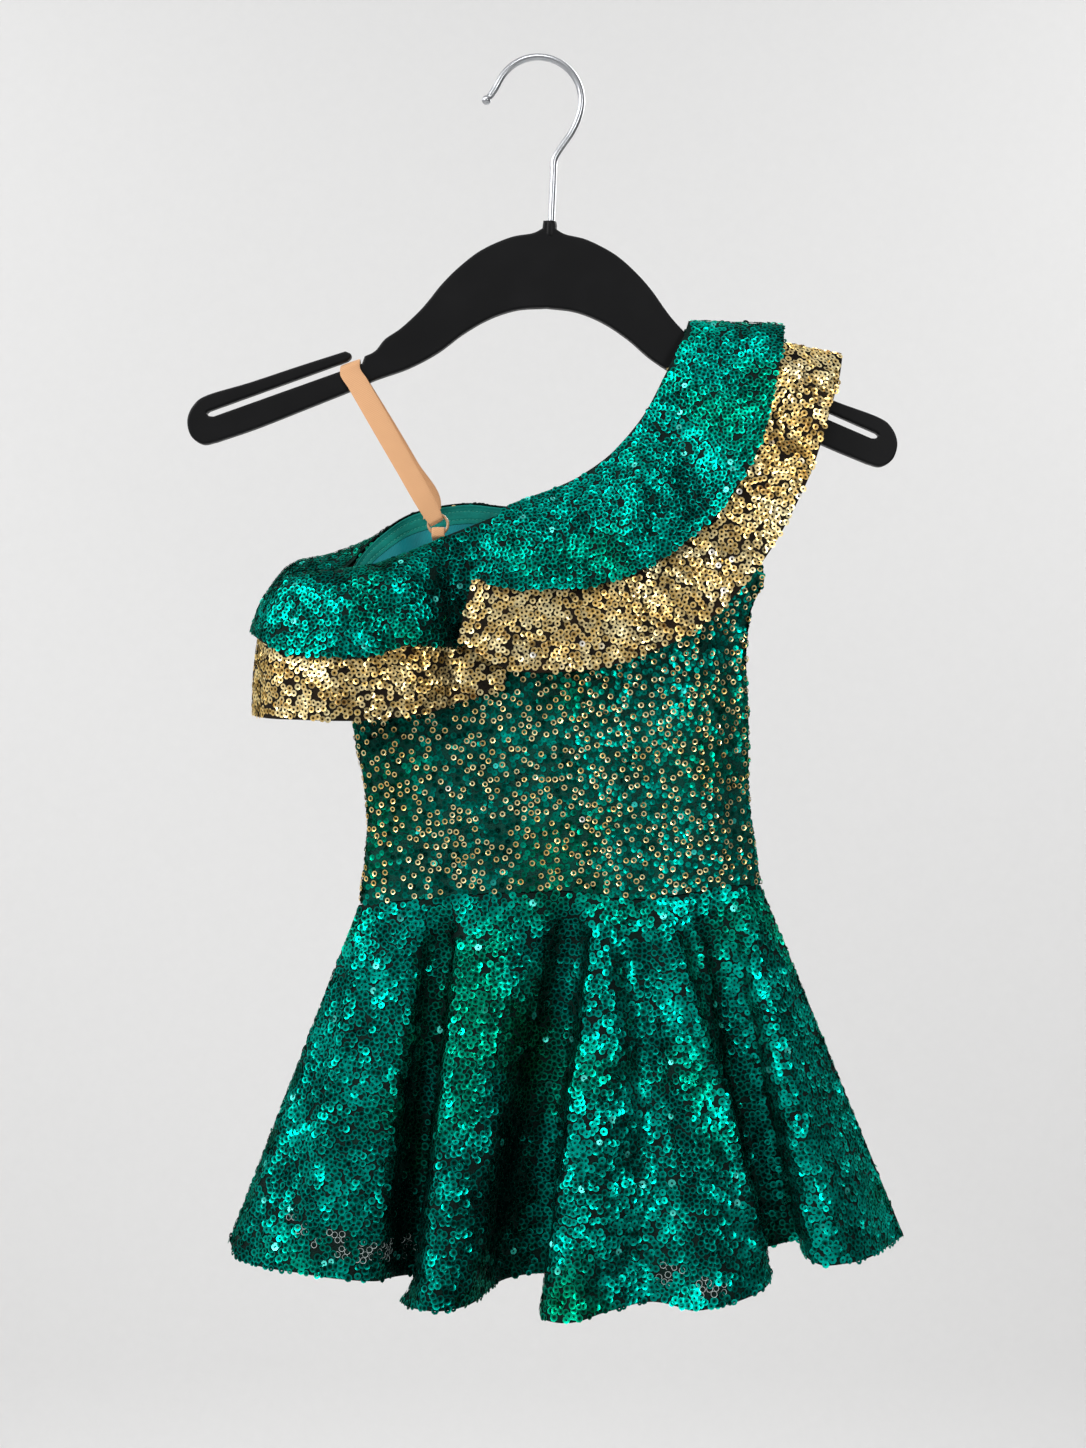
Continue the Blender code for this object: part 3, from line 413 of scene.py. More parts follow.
# Ruffle sections round the neck. A place is a share of a neckline: below 0 it is on the front,
# 0 is the left side seam, then it runs up the back to the shoulder and down the front again.
# Place, then x, y, z of the gold hem, then the crest over which the cloth falls: its share of
# the way out, its lift above the seam, its swell off the body, how firmly the cloth keeps to
# it, and how far the section stands off to lap over the next
RUFFLE_SECTIONS = (
    (-0.500, -16, -21, -301.7, 0.90, -22, 0, 1, 0),
    (-0.450, -25, -21.5, -303.6, 0.90, -20, 0, 1, 0),
    (-0.400, -38, -23, -308, 0.90, -16, 0, 1, 0),
    (-0.340, -48, -29, -311.8, 1.00, -4, 2, 1.2, 0),
    (-0.270, -61, -35, -314, 1.00, 1, 2, 1.6, 0),
    (-0.200, -75, -38, -316, 1.00, 2, 2, 1.9, 0),
    (-0.130, -93, -39, -316.4, 1.02, 2, 0, 2.2, 0),
    (-0.080, -110, -36, -315.9, 1.04, 2, 0, 2.4, 0),
    (-0.040, -127, -26, -315.2, 1.06, 1, 0, 2.4, 0),
    (0.000, -138, 0, -313, 1.00, -7, 0, 1.6, 0),
    (0.040, -129, 24, -309, 1.06, 11, 0, 2.2, 0),
    (0.080, -114, 33, -306, 1.04, 11, 0, 2.2, 0),
    (0.140, -94, 37, -302, 1.00, 8, 0, 2, 0),
    (0.220, -66, 34, -298, 0.90, 2, 0, 1.4, 0),
    (0.300, -40, 39, -294, 0.80, -5, 4, 1, 0),
    (0.380, -9, 38, -291, 0.70, -11, 7, 1, 0),
    (0.440, 16, 33, -288, 0.60, -14, 7, 1, 0),
    (0.510, 45, 35, -281, 0.60, -14, 9, 1, 0),
    (0.580, 74, 33, -267, 0.60, -14, 9, 1, 0),
    (0.645, 99, 31, -246, 0.60, -14, 9, 1, 0),
    (0.695, 118, 28, -217, 0.60, -12, 8, 1, 0),
    (0.735, 132, 23, -186, 0.60, -8, 6, 1, 0),
    (0.770, 141, 14, -158, 0.60, -8, 3, 1, 0),
    (0.800, 145.4, 0, -140, 0.60, -8, 0, 1, 0),
    (0.830, 143, -10, -153, 0.60, -8, 3, 1, 0),
    (0.860, 138.4, -15, -167.6, 0.60, -6, 5, 1, 0),
    (0.890, 131.3, -21, -191, 0.60, -9, 6, 1, 0),
    (0.920, 121.5, -26, -213, 0.60, -11, 7, 1, 0),
    (0.970, 101.1, -31, -246.3, 0.60, -13, 8, 1, 0.5),
    (1.010, 78.6, -33, -269.9, 0.60, -14, 9, 1, 1),
    (1.055, 49.3, -34, -285.3, 0.60, -14, 9, 1, 2),
    (1.090, 17.5, -34, -293.2, 0.60, -14, 9, 1, 3.2),
    (1.105, -6.8, -34, -293.6, 0.60, -14, 9, 1, 4),
    (1.118, -23, -33, -289, 0.60, -14, 9, 1, 4.4),
    (1.130, -37.7, -30, -278.6, 0.60, -14, 9, 1, 4.6),
)
RUFFLE_JOIN = 0.440
RUFFLE_JOIN_GAP = 0.0006
RUFFLE_PROBE = 0.002

# The gold layer's clearance off the bodice at the seam, and how far its sequins reach up under
# the green layer. The green layer: place, width as a share of the gold's, stand-off at the seam,
# stand-off at the hem
GOLD_STAND = 2.8
SHOULDER_SETTLE = 0.2
GREEN_OVERLAP = 0.10
GREEN_LAYER = (
    (-0.500, 0.74, 1.8, 2.4),
    (-0.400, 0.78, 1.8, 3),
    (-0.270, 0.82, 1.8, 4),
    (-0.130, 0.87, 1.8, 4.5),
    (-0.040, 0.82, 1.8, 4.5),
    (0.000, 0.66, 1.8, 4.5),
    (0.040, 0.80, 1.8, 4.5),
    (0.140, 0.84, 1.8, 4.5),
    (0.300, 0.68, 1.8, 5),
    (0.440, 0.64, 1.8, 6),
    (0.700, 0.63, 1.8, 7),
    (0.760, 0.58, 1.8, 7.5),
    (0.800, 0.54, 1.8, 8.5),
    (0.840, 0.57, 1.8, 7.5),
    (0.900, 0.64, 1.8, 6.5),
    (1.010, 0.67, 1.8, 5),
    (1.055, 0.69, 1.8, 5),
    (1.130, 0.66, 1.8, 4),
)

# Binding and lining inside the back neck
BINDING_WIDTH = 9.0
BINDING_ACROSS = (0.06, 0.76)
LINING_ACROSS = (0.12, 0.72)
LINING_CLEARANCE = 2.0
LINING_STAND = 0.8

# The binding's rolled edge and two sewn channels: share of its width, half width, height
BINDING_RELIEF = (
    (0.06, 0.07, 0.30),
    (0.33, 0.05, -0.22),
    (0.78, 0.05, -0.22),
)

# Rows of stitches in the channels, and a stitch's sections: share of its length, thickness
STITCH_SHARES = (0.34, 0.79)
STITCH_PITCH = 1.9
STITCH_LENGTH = 1.35
STITCH_SIDES = 6
STITCH_RINGS = ((-0.5, 0.25), (-0.3, 0.9), (0.0, 1.0), (0.3, 0.9), (0.5, 0.25))

# Hanger, seen square on before it is tilted: its axis, thickness and tilt
HANGER_AXIS = 7.5
HANGER_HALF_THICKNESS = 3.0
HANGER_BEVEL = 1.1
HANGER_TILT = math.radians(1.9)

# Half of the hanger's outline, from the socket round the arm and back under it, as smooth
# stretches that meet at corners: distance from the axis, height
HANGER_STRETCHES = (
    ((2.9, -76.5), (3.2, -80.2)),
    ((3.2, -80.2), (8, -82.7), (18.5, -85), (32, -91.5), (42.5, -100), (50.5, -108.5),
     (56.5, -116.5), (61.5, -122.5), (69.7, -130.5), (76.8, -135.7), (81.3, -141.5),
     (86.3, -144.3)),
    ((86.3, -144.3), (87.4, -147.8)),
    ((87.4, -147.8), (157.6, -175.5)),
    ((157.6, -175.5), (160, -175.3), (160.9, -174), (159.9, -172.9)),
    ((159.9, -172.9), (94.5, -146.8)),
    ((94.5, -146.8), (92.9, -145.2), (92.9, -143.4), (95.6, -142.2)),
    ((95.6, -142.2), (118, -150.2), (141, -158.7), (160.8, -165.3), (167.4, -170.3),
     (170.2, -177.6), (168.2, -185.2), (162.5, -188.9), (156, -187.6)),
    ((156, -187.6), (136.5, -180.2), (113, -170), (91.2, -160.4), (80.8, -155.3),
     (64.8, -149), (51, -141), (39.5, -131.8), (27, -124.1), (14, -119.4),
     (0, -118)),
)
HANGER_STRETCH_STEPS = 6
SOCKET_TOP = HANGER_STRETCHES[0][0][1]

# Round socket that the hook turns in: radius, height above the hanger's own socket top
SOCKET_PROFILE = (
    (1.7, 0.12), (2.7, 0.12), (3.1, -0.1), (3.3, -0.6), (3.35, -2), (3.4, -6.2), (3.25, -7.4),
    (2.6, -8.6), (1.4, -9.4), (0.2, -9.6),
)
SOCKET_SIDES = 32
SOCKET_SHIFT = 0.5

# Hook of round wire, bent in the hanger's plane: x, z along its middle
HOOK_RADIUS = 1.65
HOOK_SIDES = 24
HOOK_STEP = 0.8
HOOK_ARC_CENTRE = (-0.4, -18.4)
HOOK_ARC_RADIUS = 20.8
HOOK_ARC_FROM = math.radians(152.0)
HOOK_ARC_TO = math.radians(-14.0)
HOOK_ARC_STEPS = 18
HOOK_TIP = (-25.2, -18.3)
HOOK_TIP_RADIUS = 2.25
HOOK_START = ((-23.5, -16.5), (-20.9, -12.6))
HOOK_NECK = (
    (15.2, -34.4),
    (11.6, -39.6),
    (8.9, -43.6),
    (7.5, -46.2),
    (7, -48.8),
    (6.9, -53),
)
HOOK_FOOT_SHIFT = 0.9

# Shoulder strap of flat elastic
STRAP_WIDTH = 10.0
STRAP_WALL = 1.0
STRAP_BAR_PLACE = -93.0
STRAP_BAR_TOP = -150.3
STRAP_BAR_SLOPE = math.radians(21.5)
STRAP_CROWN = 1.0
STRAP_TURN_STEPS = 10
STRAP_SETTLE = 0.6
STRAP_FOLD = 6.0
STRAP_FRONT_BOW = 1.5
STRAP_BACK_SHARE = 0.33
STRAP_BACK_OVERLAP = 3.0
STRAP_BACK_BOW = 0.6
STRAP_BACK_SHIFT = 2.0
STRAP_BACK_CLEARANCE = 0.9

# Above the ring the strap widens: height above its fold, width more than at the fold. Higher up
# it is still drawn in a little.
STRAP_END_WIDTH = 7.0
STRAP_WIDENING = ((0.0, 0.0), (0.8, 0.6), (1.8, 1.1), (3.2, 1.4))
STRAP_DRAW = 1.2

# Section of the flat elastic: place across it as a share of half its width, thinning of each face
# as a share of its thickness
RIBBON_SECTION = (
    (-1, 0.32), (-0.88, 0.08), (-0.5, 0), (0, 0), (0.5, 0), (0.88, 0.08), (1, 0.32),
)

# Ring and tab that join the strap to the front neck
RING_CENTRE = (-47.6, -16.2, -223.5)
RING_RADIUS = 4.6
RING_WIRE = 0.7
RING_SEGMENTS = 56
RING_SIDES = 14
TAB_WIDTH_TOP = 6.0
TAB_WIDTH_BOTTOM = 9.0
TAB_WALL = 0.8
TAB_SHARE = 0.352
TAB_TUCK = 5.0
TAB_CLEARANCE = 0.6
TAB_SLANT = (1.0, 0.0, 0.42)


def operator(operation, swapped=False):
    """A method for the sum of a wire and another wire or number."""
    def method(self, other):
        first, second = (other, self) if swapped else (self, other)
        return self.sum(operation, first, second)
    return method


class Wire:
    """A socket in a material, so that shader sums can be written as plain expressions."""

    def __init__(self, finish, socket):
        self.finish = finish
        self.socket = socket

    def sum(self, operation, first, second=None, clamp=False):
        """The result of one operation on one or two wires or numbers."""
        values = {0: first} if second is None else {0: first, 1: second}
        settings = {"operation": operation, "use_clamp": clamp}
        return self.finish.node("ShaderNodeMath", settings, values)

    __add__, __radd__ = operator("ADD"), operator("ADD", swapped=True)
    __sub__, __rsub__ = operator("SUBTRACT"), operator("SUBTRACT", swapped=True)
    __mul__, __rmul__ = operator("MULTIPLY"), operator("MULTIPLY", swapped=True)

    def wave(self):
        """Sine of the value, moved to run from 0 to 1."""
        return self.sum("SINE", self) * 0.5 + 0.5

    def within(self):
        """The value kept between 0 and 1."""
        return self.sum("ADD", self, 0.0, clamp=True)


class Finish:
    """A material and its nodes."""

    def __init__(self, name):
        self.material = bpy.data.materials.new(name)
        self.material.use_nodes = True
        self.nodes = self.material.node_tree.nodes
        self.links = self.material.node_tree.links
        self.surface = self.nodes["Principled BSDF"]

    def fill(self, node, values):
        """Links wires to the node's sockets of those names and sets the rest to their values."""
        for name, value in values.items():
            if isinstance(value, Wire):
                self.links.new(value.socket, node.inputs[name])
            else:
                node.inputs[name].default_value = value

    def node(self, kind, settings, values, output=0):
        """A node of that kind with its settings, its ramp's stops and its sockets filled."""
        node = self.nodes.new(kind)
        for name, value in settings.items():
            if name == "stops":
                ramp = node.color_ramp.elements
                for spot, (place, colour) in enumerate(value):
                    stop = ramp[spot] if spot < 2 else ramp.new(place)
                    stop.position = place
                    stop.color = (*colour, 1.0)
            else:
                setattr(node, name, value)
        self.fill(node, values)
        return Wire(self, node.outputs[output])

    def coat(self, **values):
        """Fills the surface's own sockets, with _ for the spaces in their names."""
        self.fill(self.surface, {name.replace("_", " "): value for name, value in values.items()})
        return self.material

    def mix(self, factor, first, second, blend="MIX"):
        """Mix of two colours."""
        settings = {"data_type": "RGBA", "blend_type": blend}
        first = first if isinstance(first, Wire) else (*first, 1.0)
        second = second if isinstance(second, Wire) else (*second, 1.0)
        return self.node("ShaderNodeMix", settings, {0: factor, 6: first, 7: second}, 2)

    def place(self):
        """The point's own place on the object, in metres."""
        return self.node("ShaderNodeTexCoord", {}, {}, 3)

    def noise(self, size, detail=2.0, roughness=0.5):
        """Soft noise whose lumps are about that many millimetres across."""
        values = {"Vector": self.place(), "Scale": 1 / (size * MM), "Detail": detail,
                  "Roughness": roughness}
        return self.node("ShaderNodeTexNoise", {}, values)

    def cells(self, size):
        """Distance within scattered cells of that many millimetres."""
        values = {"Vector": self.place(), "Scale": 1 / (size * MM)}
        return self.node("ShaderNodeTexVoronoi", {}, values)

    def along(self, way):
        """Distance along a direction, in millimetres."""
        values = {0: self.place(), 1: tuple(value / MM for value in way)}
        return self.node("ShaderNodeVectorMath", {"operation": "DOT_PRODUCT"}, values, 1)

    def bump(self, height, strength, depth):
        """Normal from a height, of that many millimetres."""
        values = {"Height": height, "Strength": strength, "Distance": depth * MM}
        return self.node("ShaderNodeBump", {}, values)

    def tint(self, part):
        """One part of the colour that each sequin carries: 0 its tone, 1 its rim, 2 its own chance."""
        colour = self.node("ShaderNodeAttribute", {"attribute_name": "tint"}, {})
        return self.node("ShaderNodeSeparateColor", {}, {0: colour}, part)


def sequin_finish(name, dark, middle, bright, drift, painted_glint, edge):
    """Shiny foil sequins, each a little different, with a painted highlight along a thin rim, a
    drifting hue and painted glints on a few.
    """
    finish = Finish(name)
    tone = finish.tint(0)
    rim = finish.tint(1)
    chance = finish.tint(2)
    stops = [(0.0, dark), (0.5, middle), (1.0, bright)]
    colour = finish.node("ShaderNodeValToRGB", {"stops": stops}, {0: tone})
    cloud = finish.noise(55.0, 2.0)
    # Painted highlight: each sequin lightens towards its rim, the more so the brighter its tone; edge
    # sets how strongly.
    colour = finish.mix((rim * rim * (0.35 + tone * 0.9) * edge).within(), colour, bright)
    colour = finish.mix(((cloud - 0.50) * 4.0).within(), colour, drift, "MULTIPLY")
    # Painted glint: a few sequins at random take the glint colour.
    colour = finish.mix(((chance - 0.992) * 200.0).within(), colour, painted_glint)
    smear = finish.noise(0.5, 3.0)
    return finish.coat(Base_Color=colour, Roughness=0.20 + chance * 0.16 + smear * 0.06,
                       Metallic=0.95, Specular_Tint=(*bright, 1.0),
                       Normal=finish.bump(smear, 0.10, 0.04))


def net_finish(name, thread, gap, glow):
    """Fine net under the sequins: threads round small gaps, uneven in tone."""
    finish = Finish(name)
    holes = finish.cells(0.9)
    patch = finish.noise(9.0, 3.0)
    fine = finish.noise(1.4, 2.0)
    opening = ((0.55 - holes) * 3.0).within()
    colour = finish.mix(opening, thread, gap)
    colour = finish.mix(((patch - 0.42) * 2.4 * fine).within(), colour, glow)
    relief = holes + fine * 0.4
    return finish.coat(Base_Color=colour, Roughness=0.62 + fine * 0.2,
                       Normal=finish.bump(relief, 0.7, 0.35), Specular_IOR_Level=0.12)


def plastic_finish():
    """Satin black moulded plastic with a fine grain and faint rubbed patches."""
    finish = Finish("satin black plastic")
    grain = finish.noise(0.35, 2.0)
    rub = finish.noise(28.0, 4.0, 0.6)
    colour = finish.mix((rub - 0.45).within(), (0.003, 0.003, 0.0034), (0.0068, 0.0068, 0.0076))
    return finish.coat(Base_Color=colour, Roughness=0.34 + rub * 0.14 + grain * 0.05,
                       Normal=finish.bump(grain, 0.25, 0.04), Specular_IOR_Level=0.16)


def wire_finish():
    """Bright plated wire, drawn lengthways, with faint scuffs."""
    finish = Finish("bright wire")
    scuff = finish.noise(2.2, 5.0, 0.7)
    colour = finish.mix(((scuff - 0.45) * 2.0).within(), (0.50, 0.51, 0.53), (0.36, 0.37, 0.39))
    return finish.coat(Base_Color=colour, Roughness=0.24 + scuff * 0.1, Metallic=1.0,
                       Normal=finish.bump(scuff, 0.02, 0.01))


def elastic_finish():
    """Tan woven elastic: fine cross ribs with a slightly darker ground."""
    finish = Finish("tan elastic")
    ribs = (finish.along((-0.47, 0.0, 0.88)) * 7.5).wave()
    lines = (finish.along((0.88, 0.0, 0.47)) * 9.0).wave()
    soil = finish.noise(6.0, 4.0)
    weave = ribs * 0.7 + lines * 0.3
    colour = finish.mix(weave * 0.5 + soil * 0.25, (0.52, 0.25, 0.105), (0.78, 0.45, 0.23))
    return finish.coat(Base_Color=colour, Roughness=0.62 + soil * 0.15,
                       Normal=finish.bump(weave, 0.45, 0.12), Sheen_Weight=0.25)


def ring_finish():
    """Tan gloss plastic of the small ring."""
    finish = Finish("tan ring")
    cloud = finish.noise(2.0, 3.0)
    colour = finish.mix(cloud, (0.38, 0.20, 0.085), (0.55, 0.33, 0.18))
    return finish.coat(Base_Color=colour, Roughness=0.22 + cloud * 0.08, Coat_Weight=0.4,
                       Normal=finish.bump(cloud, 0.1, 0.05))


def binding_finish():
    """Teal folded tape with a fine lengthways rib."""
    finish = Finish("teal binding")
    thread = finish.noise(0.45, 2.0)
    wear = finish.noise(5.0, 3.0)
    ribs = (finish.along((0.2, 0.0, 1.0)) * 11.0).wave()
    colour = finish.mix(wear * 0.6 + ribs * 0.3, (0.0, 0.085, 0.070), (0.0, 0.33, 0.27))
    return finish.coat(Base_Color=colour, Roughness=0.55 + thread * 0.2,
                       Normal=finish.bump(thread + ribs * 0.8, 0.5, 0.15), Specular_IOR_Level=0.2)


def lining_finish():
    """Turquoise knitted lining with a soft shine."""
    finish = Finish("turquoise lining")
    knit = (finish.along((1.0, 0.2, 0.25)) * 8.0).wave()
    fold = finish.noise(11.0, 3.0)
    colour = finish.mix(fold * 0.8 + knit * 0.2, (0.0, 0.10, 0.125), (0.0, 0.34, 0.37))
    return finish.coat(Base_Color=colour, Roughness=0.40 + knit * 0.12,
                       Normal=finish.bump(knit + fold, 0.3, 0.2), Specular_IOR_Level=0.25)


def thread_finish(name, dark, light):
    """Sewing thread."""
    finish = Finish(name)
    twist = finish.noise(0.4, 2.0)
    colour = finish.mix(twist, dark, light)
    return finish.coat(Base_Color=colour, Roughness=0.5 + twist * 0.2,
                       Normal=finish.bump(twist, 0.4, 0.05))


def studio_finish(name, colour):
    """Pale matt paper for the floor and the wall behind."""
    finish = Finish(name)
    tooth = finish.noise(18.0, 6.0, 0.6)
    shade = tuple(value * 0.96 for value in colour)
    return finish.coat(Base_Color=finish.mix(tooth, shade, colour), Roughness=0.85,
                       Normal=finish.bump(tooth, 0.12, 1.5))


def spline(rows, at):
    """Smooth values at the given places through rows of (place, value, value, ...)."""
    rows = np.array(rows, dtype=float)
    place = rows[:, 0]
    value = rows[:, 1:]
    step = np.diff(place)
    slope = np.diff(value, axis=0) / step[:, None]
    tangent = np.empty_like(value)
    tangent[0] = slope[0]
    tangent[-1] = slope[-1]
    weight = (step[1:] / (step[1:] + step[:-1]))[:, None]
    tangent[1:-1] = slope[:-1] * weight + slope[1:] * (1 - weight)
    at = np.clip(np.asarray(at, dtype=float), place[0], place[-1])
    index = np.clip(np.searchsorted(place, at, side="right") - 1, 0, len(step) - 1)
    width = step[index][:, None]
    share = ((at - place[index]) / step[index])[:, None]
    rise = share * share * (3 - 2 * share)
    start_pull = share * (1 - share) ** 2 * width
    end_pull = share * share * (share - 1) * width
    return (value[index] * (1 - rise) + value[index + 1] * rise
            + tangent[index] * start_pull + tangent[index + 1] * end_pull)


def unit(vectors):
    """The vectors at length one."""
    return vectors / np.maximum(np.linalg.norm(vectors, axis=-1, keepdims=True), 1e-9)


def round_angles(count):
    """That many even angles all round."""
    return 2 * np.pi * np.arange(count) / count


def run_along(line):
    """Distance along a line of points, from 0 at its first one."""
    return np.concatenate([[0], np.cumsum(np.linalg.norm(np.diff(line, axis=0), axis=1))])


def at_run(spots, run, values):
    """Values of a line of points at distances along it."""
    return np.stack([np.interp(spots, run, part) for part in values.T], axis=-1)


def off_seam(depth, side):
    """Places along Y, kept on their own side of the seam plane."""
    return side * np.maximum(side * depth, HALF_GAP)


def sheet_normals(sheet, like=None):
    """Normals of a grid of points, rows by columns, turned the way of like where it is given."""
    normals = unit(np.cross(np.gradient(sheet, axis=1), np.gradient(sheet, axis=0)))
    if like is None:
        return normals
    return normals * np.sign(np.sum(normals * like, axis=-1, keepdims=True))


def waist_ring(x, side):
    """The waist seam's points at the given x, at the front (-1) or the back (+1)."""
    depth = FRONT_DEPTH if side < 0 else BACK_DEPTH
    across = (x - WAIST_MIDDLE) / WAIST_HALF
    y = off_seam(side * depth * np.sqrt(np.maximum(1 - across ** 2, 0)), side)
    return np.stack([x, y, spline(WAIST_SEAM, x)[:, 0]], axis=-1)


def neck_points(table, side, at):
    """Points of a neckline, kept on their own side of the seam plane."""
    points = spline(table, at)
    points[:, 1] = off_seam(points[:, 1], side)
    return points


def bodice_sheet(side, rows, columns):
    """Outer sheet of the front (-1) or back (+1) bodice at the given shares up and across."""
    neck = FRONT_NECK if side < 0 else BACK_NECK
    lean = (1 - np.cos(np.pi * columns)) / 2
    bottom = waist_ring(WAIST_MIDDLE - WAIST_HALF * np.cos(np.pi * columns), side)
    top = neck_points(neck, side, np.minimum(columns, SHOULDER))
    past = np.clip((columns - SHOULDER) / (1 - SHOULDER), 0, 1)[:, None]
    top = top + (np.array(SHOULDER_END) * (1, 0, 1) + (0, side * HALF_GAP, 0) - top) * past

    left = spline(LEFT_SEAM, rows)
    left = np.stack([left[:, 0], np.full(len(rows), side * HALF_GAP), left[:, 1]], axis=-1)
    below = (rows <= ARMHOLE[0][0])[:, None]
    right = np.where(below, spline(RIGHT_SEAM, rows), spline(ARMHOLE, rows))
    right[:, 1] = off_seam(side * right[:, 1], side)

    v = rows[:, None, None]
    u = lean[None, :, None]
    corners = ((1 - u) * (1 - v) * bottom[0] + u * (1 - v) * bottom[-1]
               + (1 - u) * v * top[0] + u * v * top[-1])
    sheet = (1 - v) * bottom + v * top + (1 - u) * left[:, None] + u * right[:, None] - corners
    reach = (u[..., 0] - SHOULDER_PULL_FROM) / (SHOULDER_PULL_TO - SHOULDER_PULL_FROM)
    reach = np.clip(reach, 0, 1)
    pull = reach * reach * (3 - 2 * reach)
    rise = v[..., 0] ** NECK_FADE
    depth = (1 - rise) * bottom[:, 1] + rise * top[:, 1]
    sheet[..., 1] = off_seam(side * np.hypot(depth, pull * right[:, None, 1]), side)
    return sheet


def seam_side_normals(sheet, side):
    """Outward normals of a front or back sheet, level where the sheet ends at a side seam."""
    normals = sheet_normals(sheet)
    if normals[0, sheet.shape[1] // 2, 1] * side < 0:
        normals = -normals
    on_seam = np.abs(sheet[..., 1]) <= HALF_GAP + 0.01
    normals[on_seam, 1] = 0
    return unit(normals)


def top_levelled(normals):
    """The normals, level along the top edge, so that the wall is cut square there."""
    normals[0, :, 2] = 0
    normals[0] = unit(normals[0])
    return normals


def neck_place(place):
    """Neckline point, outward direction and share of the shoulder's turn at a place."""
    if place > SHOULDER:
        place = place - 2 * SHOULDER
    table, side = (FRONT_NECK, -1) if place < 0 else (BACK_NECK, 1)
    point = spline(table, [abs(place)])[0]
    over_top = max(0.0, (abs(place) / SHOULDER - SHOULDER_TURN) / (1 - SHOULDER_TURN))
    off_side = max(0.0, 1 - abs(place) / SIDE_TURN)
    out = np.array([-off_side, side * (1 - max(over_top, off_side)), 0.3 + 1.2 * over_top])
    return point, out / np.linalg.norm(out), over_top


def gold_points(at, shares):
    """Gold ruffle's outer points: each section rises from the neck to its crest and falls."""
    values = spline(RUFFLE_SECTIONS, at)
    points = np.empty((len(shares), len(at), 3))
    for column, place in enumerate(at):
        start, out, over_top = neck_place(place)
        hem = values[column, 0:3]
        crest_share, lift, swell, firmness, lap = values[column, 3:8]
        side = -1.0 if hem[1] < 0 else 1.0
        start = start + out * (GOLD_STAND - SHOULDER_SETTLE * over_top + lap)
        crest = start + (hem - start) * (crest_share, crest_share, 0)
        crest = crest + (0, side * swell, lift)
        w = shares[:, None] if shares.ndim == 1 else shares[:, column:column + 1]
        pull = 2 * w * (1 - w) * firmness
        total = (1 - w) ** 2 + pull + w * w
        points[:, column] = ((1 - w) ** 2 * start + pull * crest + w * w * hem) / total
    return points


def green_points(at, shares):
    """Green ruffle's outer points: the gold's own points, narrower and moved out."""
    width, near, far = spline(GREEN_LAYER, at).T
    under = shares[:, None] * width if shares.ndim == 1 else shares * width
    stand = near + (far - near) * (under / width)
    return gold_points(at, under) + probed_normals(gold_points, at, under) * stand[..., None]


def probed_normals(shape, at, shares):
    """Outward normals of a ruffle's shape, from points close by on each side."""
    spread = shares if shares.ndim == 2 else np.repeat(shares[:, None], len(at), axis=1)
    across = shape(at + RUFFLE_PROBE, spread) - shape(at - RUFFLE_PROBE, spread)
    low = np.maximum(spread - RUFFLE_PROBE, 0)
    high = np.minimum(spread + RUFFLE_PROBE, 1)
    down = shape(at, high) - shape(at, low)
    return unit(np.cross(across, down))


def ruffle_places(first, last, steps):
    """Places from one section to another, with even steps between the sections."""
    marks = [first] + [row[0] for row in RUFFLE_SECTIONS if first < row[0] < last] + [last]
    places = [here + (there - here) * step / steps
              for here, there in zip(marks, marks[1:]) for step in range(steps)]
    return np.array(places + [last])


def tilt(x, z):
    """A point of the hanger's plane, turned about the hook's crown to the hanger's tilt."""
    turned_x = x * math.cos(HANGER_TILT) + z * math.sin(HANGER_TILT)
    turned_z = -x * math.sin(HANGER_TILT) + z * math.cos(HANGER_TILT)
    return turned_x, turned_z


def show(name, mesh, finish):
    """Puts a mesh into the scene, in its material and fixed to the object."""
    mesh.materials.append(finish)
    item = bpy.data.objects.new(name, mesh)
    bpy.context.collection.objects.link(item)
    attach(item, "root")
    return item


def lay_mesh(name, points, faces, finish, tints=None):
    """A smooth mesh from arrays of points in millimetres and of faces with equal corner counts."""
    count, corners = faces.shape
    mesh = bpy.data.meshes.new(name)
    mesh.vertices.add(len(points))
    mesh.vertices.foreach_set("co", (np.asarray(points) * MM).astype(np.float32).ravel())
    mesh.loops.add(count * corners)
    mesh.loops.foreach_set("vertex_index", faces.astype(np.int32).ravel())
    mesh.polygons.add(count)
    mesh.polygons.foreach_set("loop_start", np.arange(count, dtype=np.int32) * corners)
    mesh.update(calc_edges=True)
    mesh.shade_smooth()
    if tints is not None:
        layer = mesh.color_attributes.new("tint", "FLOAT_COLOR", "POINT")
        layer.data.foreach_set("color", tints.astype(np.float32).ravel())
    return show(name, mesh, finish)


def outward(points, faces):
    """The four-cornered faces of a closed shape, turned so that they look outwards."""
    a, b, c, d = (points[faces[:, corner]] for corner in range(4))
    volume = np.sum(a * (np.cross(b - a, c - a) + np.cross(c - a, d - a)))
    return faces if volume > 0 else faces[:, ::-1]


def wall(name, outer, inner, finish):
    """A closed wall between two grids of the same size."""
    rows, columns = outer.shape[:2]
    points = np.concatenate([outer.reshape(-1, 3), inner.reshape(-1, 3)])
    spots = np.arange(rows * columns).reshape(rows, columns)
    corners = [spots[:-1, :-1], spots[:-1, 1:], spots[1:, 1:], spots[1:, :-1]]
    front = np.stack(corners, axis=-1).reshape(-1, 4)
    back = front[:, ::-1] + rows * columns
    rim = np.concatenate([spots[0], spots[1:, -1], spots[-1, -2::-1], spots[-2:0:-1, 0]])
    ahead = np.roll(rim, -1)
    edge = np.stack([ahead, rim, rim + rows * columns, ahead + rows * columns], axis=-1)
    faces = np.concatenate([front, back, edge])
    item = lay_mesh(name, points, outward(points, faces), finish)
    item.data.set_sharp_from_angle(angle=EDGE_ANGLE)
    return item


